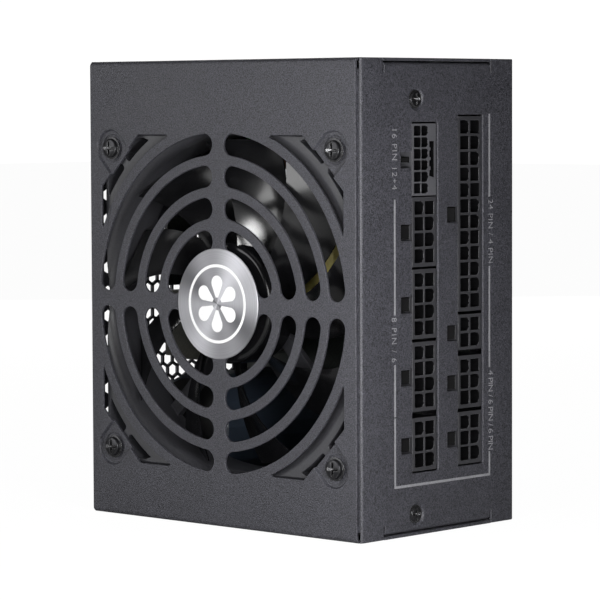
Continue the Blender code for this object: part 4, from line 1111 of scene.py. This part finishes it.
def pan_screw(name, length, cross, coat):
    """A pan-head screw along +Y that fills its CAD box, with a domed head on a collar."""
    low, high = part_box(name)
    radius = (high.x - low.x) / 2
    under = high.y - length
    tall = under - low.y
    shank = radius * 0.5
    profile = [(0, low.y)] + [(radius * out, low.y + tall * down) for out, down in PAN_HEAD]
    profile += [(radius, under), (shank, under)]
    for i in range(THREADS):
        along = under + 0.6 * MM + (length - 1.2 * MM) * i / THREADS
        profile += [(shank, along), (shank * 0.84, along + 0.2 * MM)]
    profile += [(shank, high.y - 0.4 * MM), (shank * 0.7, high.y), (0, high.y)]
    spot = middle(name)
    screw_piece(name, turned("Y", profile, 40), "Y", (spot.x, 0, spot.z), (0, 0, 0), coat, low.y, cross)


def flat_screw(name, axis, at, turn, coat):
    screw_piece(name, turned(axis, FLAT_SCREW, 40), axis, at, turn, coat, 0, 1.5 * MM)


def fasteners(coat, bright):
    for i in range(4):
        pan_screw(f"fan_screw_{i + 1}", 8 * MM, 1.9 * MM, coat)
        pan_screw(f"board_screw_{i + 1}", 4.7 * MM, 1.5 * MM, bright)
    for name, across, level, turn in CASE_SCREWS:
        flat_screw(name, "Z", (across, 0, level), turn, coat)
    for name in PANEL_SCREWS:
        spot = middle(name)
        flat_screw(name, "X", (X_END, spot.y, spot.z), (0, 0, 0), coat)


# ---- output end
def cells_of(name, circuits):
    """Centres, half sizes and shape of the cells of one socket."""
    column, z_middle, _, _ = socket_box(name)
    fine = circuits == 16
    pitch = FINE_PITCH if fine else PITCH
    rows = 6 if fine else circuits // 2
    offset = FINE_OFFSET if fine else 0
    made = []
    for row in range(rows):
        z = z_middle + (rows - 1 - 2 * row) * pitch / 2
        for side in (-1, 1):
            keyed = side > 0 if fine else (row % 4 in (0, 3)) == (side < 0)
            made.append((column + offset + side * pitch / 2, z, (FINE_CELL if fine else CELL) / 2, keyed))
    return made


def cell_outline(y, z, half, keyed):
    """A square cell; a keyed one has its two corners on the +Y side rounded, so only the right plug fits."""
    small, large = 0.12 * half, 0.7 * half
    radii = [small, large, large, small] if keyed else small
    return rounded(rectangle(y - half, y + half, z - half, z + half), radii, 4)


def comb_outline(y, z):
    """The slot for the four sense contacts, with three ribs between them."""
    wide, rib = 0.8 * MM, 0.3 * MM
    points = [(y + wide, z - COMB_HALF), (y + wide, z + COMB_HALF)]
    for tooth in range(4):
        top = z + COMB_HALF - tooth * TOOTH_PITCH
        points += [(y - wide, top), (y - wide, top - 1.5 * MM)]
        if tooth < 3:
            points += [(y - rib, top - 1.6 * MM), (y - rib, top - 2.4 * MM)]
    return points


def darken_cells(body, column, face, dark, dull):
    """Paints shade: a near-black coat on the walls and floors of the cells, and a dull near-black one on the
    catch.
    """
    body.data.materials.append(dark)
    body.data.materials.append(dull)
    for side in body.data.polygons:
        inner = abs(side.center.y - column) < SOCKET_WIDTH / 2 - 0.2 * MM
        if inner and face - CELL_DEPTH - 0.1 * MM < side.center.x < face - 0.2 * MM:
            side.material_index = 1
        elif side.center.y < column - SOCKET_WIDTH / 2 - 0.1 * MM:
            side.material_index = 2


def add_catch(body, side, z, half, face):
    """The ramp beside a socket that its plug's latch snaps over."""
    tip = side - CATCH_REACH
    ramp = [(face - 6 * MM, side + MM), (face - 6 * MM, tip), (face - 4.5 * MM, tip)]
    ramp += [(face - MM, side - 0.3 * MM), (face - MM, side + MM)]
    join(body, prism("Z", [ramp], z - half, z + half))


def output_socket(name, circuits, coat, dark, dull, metal):
    column, z_middle, half, face = socket_box(name)
    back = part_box(name)[0].x
    fine = circuits == 16
    outline = rounded(box_outline(column, z_middle, (SOCKET_WIDTH / 2, half)), 0.35 * MM, 3)
    body = put(f"{name}_shell", prism("X", [outline], back, face))
    add_catch(body, column - SOCKET_WIDTH / 2, z_middle, FINE_CATCH if fine else CATCH, face)
    cells = cells_of(name, circuits)
    outlines = [cell_outline(*cell) for cell in cells]
    if fine:
        outlines.append(comb_outline(column + COMB_AT, z_middle))
    cut(body, prism("X", outlines, face - CELL_DEPTH, face + MM))
    dress(body, coat, [name], 0.1 * MM, 1)
    darken_cells(body, column, face, dark, dull)
    pins = [box_outline(y, z, (PIN, PIN)) for y, z, _, _ in cells]
    posts = put(f"{name}_pins", prism("X", pins, face - CELL_DEPTH - 0.5 * MM, face - 4 * MM))
    return dress(posts, metal, (), 0.1 * MM, 1)


def output_end(plastic, sense, dark, dull, metal):
    for name, circuits in (NEAR_COLUMN | FAR_COLUMN).items():
        output_socket(name, circuits, sense if circuits == 16 else plastic, dark, dull, metal)


def print_text(name, words, y, z_top, z_bottom, coat):
    """Words printed on the output end that read downwards from z_top to z_bottom."""
    letters = bpy.data.curves.new(name, "FONT")
    letters.body = words
    letters.align_x = "LEFT"
    letters.align_y = "CENTER"
    letters.size = TEXT_SIZE
    letters.extrude = PRINT * 0.5
    letters.resolution_u = 4
    letters.offset = -0.02 * MM
    helper = put("letters", letters)
    bpy.context.view_layer.update()
    length = helper.dimensions.x
    letters.space_character *= 1 + (z_top - z_bottom - length) / length * TEXT_SPREAD
    shape = plain_mesh(helper)
    stretch = (z_top - z_bottom) / helper.dimensions.x
    bpy.data.objects.remove(helper)
    for vertex in shape.vertices:
        along, tall, out = vertex.co
        vertex.co = (X_END - PRINT * 0.5 + out, y + tall, z_top - along * stretch)
    made = put(name, shape)
    recoat(made, coat)
    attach(made, "case")


def print_line(name, low, high, ink):
    """A thin printed bar between two corners, in Y and Z."""
    outline = rectangle(low[0], high[0], low[1], high[1])
    line = put(f"print_line_{name}", prism("X", [outline], X_END - PRINT * 1.2, X_END))
    dress(line, ink)


def panel_print(ink):
    """Thin frame lines and plain pin counts beside the sockets; the lines' ends are heights in mm."""
    strokes = [(LEFT_LINE, low, high) for low, high in ((58.6, 88), (32.1, 45), (13.3, 31.1))]
    right = ((13.3, 19.2), (42.6, 46), (46.8, 69.2), (88.5, 110))
    strokes += [(RIGHT_LINE, low, high) for low, high in right]
    half = LINE_WIDTH / 2
    for i, (y, low, high) in enumerate(strokes):
        print_line(i + 1, (y - half, low * MM - half), (y + half, high * MM + half), ink)
    foot = half + 0.005 * MM
    print_line("foot", (LEFT_LINE + foot, PRINT_LOW - foot), (RIGHT_LINE - foot, PRINT_LOW + foot), ink)
    for name, words, *spot in PRINTED_WORDS:
        print_text(name, words, *(value * MM for value in spot), ink)


# ---- mains end
def aperture(y, z, half, chamfer):
    """The inlet's opening: a rectangle with the two corners on its -Y side cut off."""
    low, high = y - half[0], y + half[0]
    points = [(high, z - half[1]), (high, z + half[1]), (low + chamfer, z + half[1])]
    points += [(low, z + half[1] - chamfer), (low, z - half[1] + chamfer), (low + chamfer, z - half[1])]
    return rounded(points, 0.6 * MM, 4)


def flanged(name, spot, flange, radius, body, front, back):
    """A housing for a hole in the well's floor: a flange in front and a narrower body behind it."""
    made = put(name, plate(spot, flange, radius, front, WELL_FLOOR - CLEAR, 6))
    join(made, plate(spot, body, MM, front + MM, back))
    return made


def mains_inlet(coat, metal):
    front, back = inlet_low.x, inlet_high.x
    inlet = flanged("inlet_housing", INLET, INLET_FLANGE, 1.5 * MM, INLET_BODY, front, back)
    mouth = aperture(INLET.y, INLET.z, INLET_MOUTH, INLET_CHAMFER)
    cut(inlet, prism("X", [mouth], front - MM, back - 3 * MM))
    spots = [middle(name) for name in INLET_BLADES]
    slots = [box_outline(spot.y, spot.z, BLADE_SLOT) for spot in spots]
    cut(inlet, prism("X", slots, back - 4 * MM, back + MM))
    dress(inlet, coat, ["mains_inlet"], 0.25 * MM, 3)
    for name in INLET_BLADES:
        keep(name, metal, 0.15 * MM)


def rocker_switch(coat, paint):
    front, back = bezel_low.x, bezel_high.x
    bezel = flanged("switch_surround", BEZEL, BEZEL_FLANGE, MM, BEZEL_BODY, front, back)
    mouth = box_outline(BEZEL.y, BEZEL.z, BEZEL_MOUTH)
    cut(bezel, prism("X", [mouth], front - MM, WELL_FLOOR + 6.5 * MM))
    dress(bezel, coat, ["switch_bezel"], 0.25 * MM, 3)
    rocker_marks(paint)


def rocker_marks(paint):
    """A bar and a ring printed on the two sloping halves of the rocker, tipped by ROCKER_THROW at rest."""
    pivot = Matrix.Translation((WELL_FLOOR + MM, BEZEL.y, BEZEL.z)) @ Matrix.Rotation(ROCKER_THROW, 4, "Y")
    thin = 0.02 * MM
    ring = [(1.4 * MM, -thin), (MM, -thin), (MM, thin), (1.4 * MM, thin)]
    bar = prism("X", [box_outline(0, 0, (0.2 * MM, 1.5 * MM))], -thin, thin)
    for name, mesh, half in (("rocker_bar", bar, 1), ("rocker_ring", turned("X", ring), -1)):
        middle_of_half = Matrix.Translation((-2.26 * MM, 0, half * 3.65 * MM))
        placed = pivot @ middle_of_half @ Matrix.Rotation(-half * ROCKER_SLOPE, 4, "Y")
        mark = put(name, mesh, placed.translation, placed.to_euler())
        dress(mark, paint, body="rocker")


# ---- inside
# CAD nodes that stay, each with its finish and the width of its rounded edges in mm
KEPT = (
    ("main_board", "board", 0.1), ("insulation_sheet", "film", 0), ("output_board", "black_board", 0.1),
    ("board_spacer_1", "tinned_brass", 0), ("board_spacer_2", "tinned_brass", 0),
    ("fan_shaft", "steel", 0), ("fan_bearing", "bronze", 0), ("fan_magnet_ring", "magnet", 0),
    ("fan_circuit_board", "board", 0), ("fan_stator", "copper_wire", 0.3),
    ("rectifier_bridge", "black_plastic", 0.3), ("filter_capacitor", "yellow_tape", 0.4),
    ("standby_transformer", "yellow_tape", 0.4), ("primary_heatsink", "bare_aluminium", 0.2),
    ("secondary_heatsink", "bare_aluminium", 0.2), ("mains_fuse", "fuse_glass", 0.3),
    ("output_capacitor", "bare_aluminium", 0), ("bulk_capacitor", "sleeve_shaded_top", 0.8),
    # The boost choke's copper winding gets the dark ferrite finish, as painted shade deep in the case.
    ("boost_choke", "magnet", 0.4), ("common_mode_choke", "copper_wire", 0),
    ("transformer_winding", "yellow_tape", 0.3), ("transformer_core", "magnet", 0.4),
    ("switch_rocker", "black_plastic", 0.3),
)
WIRES = {"fan_cable": "film", "live_wire": "film", "neutral_wire": "sleeve", "earth_wire": "earth_wire"}


def keep(name, coat, edge=0.0, smooth=0):
    """A CAD node that stays: it gets a finish, and rounded edges or a smoother round."""
    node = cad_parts[name]
    recoat(node, coat)
    if edge:
        soften(node, edge, 2, 40)
    if smooth:
        change = node.modifiers.new("round", "SUBSURF")
        change.levels = change.render_levels = smooth


def filter_board(coat, chips):
    """A small upright board between the boost choke and the vent, notched at its upper inner corner."""
    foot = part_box("main_board")[0].y
    choke_low, choke_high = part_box("boost_choke")
    front = choke_low.x - 0.2 * MM
    tip = choke_low.y
    low = choke_high.z + 0.3 * MM
    notch, step, high = 5.5 * MM, low + 10.5 * MM, low + 19 * MM
    outline = [(tip, low), (foot, low), (foot, step), (notch, step), (notch, high), (tip, high)]
    upright = put("filter_board", prism("X", [outline], front, front + 1.1 * MM))
    dress(upright, coat, (), 0.1 * MM, 1)
    for i, height in enumerate((3, 7)):
        at = (front - 1.2 * MM, 0, low + height * MM)
        chip = put(f"filter_chip_{i + 1}", block((0, -2 * MM, -1.2 * MM), (1.2 * MM, 3 * MM, 1.2 * MM)), at)
        dress(chip, chips, (), 0.15 * MM, 1)


def inside(coats):
    filter_board(coats["black_board"], coats["black_plastic"])
    for name, coat, edge in KEPT:
        keep(name, coats[coat], edge * MM)
    for name, coat in WIRES.items():
        keep(name, coats[coat], 0, 1)


# ---- stage
def stage_floor():
    """A wide pale floor that is almost as bright as the backdrop and takes a faint shadow."""
    nodes = Nodes("stage_floor")
    glow = nodes.add("ShaderNodeEmission", (1, 1, 1, 1), 1.08)
    grain = nodes.span(nodes.noise(2 * MM), 0.0, 1.0, 0.985, 1.0)
    matte = nodes.add("ShaderNodeBsdfDiffuse", nodes.mix(grain, grey(0.45), grey(0.5)))
    seen = nodes.add("ShaderNodeLightPath").outputs["Is Camera Ray"]
    share = nodes.math("MULTIPLY", seen, 0.9)
    blend = nodes.add("ShaderNodeMixShader", share, matte.outputs[0], glow.outputs[0])
    nodes.tree.links.new(blend.outputs[0], nodes.tree.nodes["Material Output"].inputs["Surface"])
    size = 4.0
    floor = put("floor", prism("Z", [rectangle(-size, size, -size, size)], -0.012, -0.002 * MM))
    floor.data.materials.append(nodes.material)


def backdrop(light):
    """White to the camera; a soft grey surround for everything else."""
    world = bpy.data.worlds.new("backdrop")
    world.use_nodes = True
    tree = world.node_tree
    ground = tree.nodes["Background"]
    ground.inputs["Color"].default_value = (1, 1, 1, 1)
    seen = tree.nodes.new("ShaderNodeLightPath").outputs["Is Camera Ray"]
    strength = tree.nodes.new("ShaderNodeMapRange")
    strength.inputs["To Min"].default_value = light
    strength.inputs["To Max"].default_value = 1.05
    tree.links.new(seen, strength.inputs["Value"])
    tree.links.new(strength.outputs[0], ground.inputs["Strength"])
    bpy.context.scene.world = world


def heading(azimuth, elevation):
    """The way out from the object, in degrees; azimuth 0 faces the fan, 90 the output end."""
    turn, rise = math.radians(azimuth), math.radians(elevation)
    return Vector((math.sin(turn) * math.cos(rise), -math.cos(turn) * math.cos(rise), math.sin(rise)))


def soft_light(name, azimuth, elevation, distance, size, power):
    """A square softbox that looks at the object's middle."""
    way = heading(azimuth, elevation)
    data = bpy.data.lights.new(name, "AREA")
    data.shape = "SQUARE"
    data.size = size
    data.energy = power
    at = Vector((0, 0, HEIGHT / 2)) + way * distance
    put(name, data, at, way.to_track_quat("Z", "Y").to_euler()).visible_camera = False


def camera():
    back = heading(CAMERA_AZIMUTH, CAMERA_ELEVATION)
    data = bpy.data.cameras.new("camera")
    data.lens = CAMERA_LENS
    data.sensor_width = 36
    data.clip_start = 0.01
    aim = back.to_track_quat("Z", "Y").to_matrix().to_4x4()
    rolled = aim @ Matrix.Rotation(math.radians(CAMERA_ROLL), 4, "Z")
    bpy.context.scene.camera = put("camera", data, CAMERA_AT, rolled.to_euler())


def plain_name(material):
    """A material's name without the number that Blender adds beside the frame's own material."""
    return material.name.split(".")[0]


def build():
    coats = {}
    for make in (
        powder_coat, fan_plastic, frame_plastic, slot_shade_plastic, socket_plastic, cell_shade, catch_shade,
        sense_plastic, black_plastic, black_zinc, spun_aluminium, bare_aluminium, tinned_brass, bronze, steel,
        ferrite, copper_wire, green_board, black_board, sleeve, sleeve_shaded_top, yellow_tape, film,
        earth_insulation, printed_ink, white_paint, glass,
    ):
        coat = make().material
        coats[plain_name(coat)] = coat
    fan_cover(coats["powder_coat"])
    base_chassis(coats["powder_coat"])
    fan_frame(coats["frame_plastic"], coats["slot_shade_plastic"])
    fan_impeller(coats["fan_plastic"])
    badge(coats["spun_aluminium"], coats["white_paint"])
    fasteners(coats["black_zinc"], coats["steel"])
    sockets = (coats["socket_plastic"], coats["sense_plastic"], coats["cell_shade"], coats["catch_shade"])
    output_end(*sockets, coats["tinned_brass"])
    panel_print(coats["printed_ink"])
    mains_inlet(coats["black_plastic"], coats["tinned_brass"])
    rocker_switch(coats["black_plastic"], coats["white_paint"])
    inside(coats)
    stage_floor()
    backdrop(SURROUND)
    for light in SOFT_LIGHTS:
        soft_light(*light)
    camera()
    bpy.context.scene.view_settings.view_transform = "Standard"


build()
bpy.context.view_layer.update()
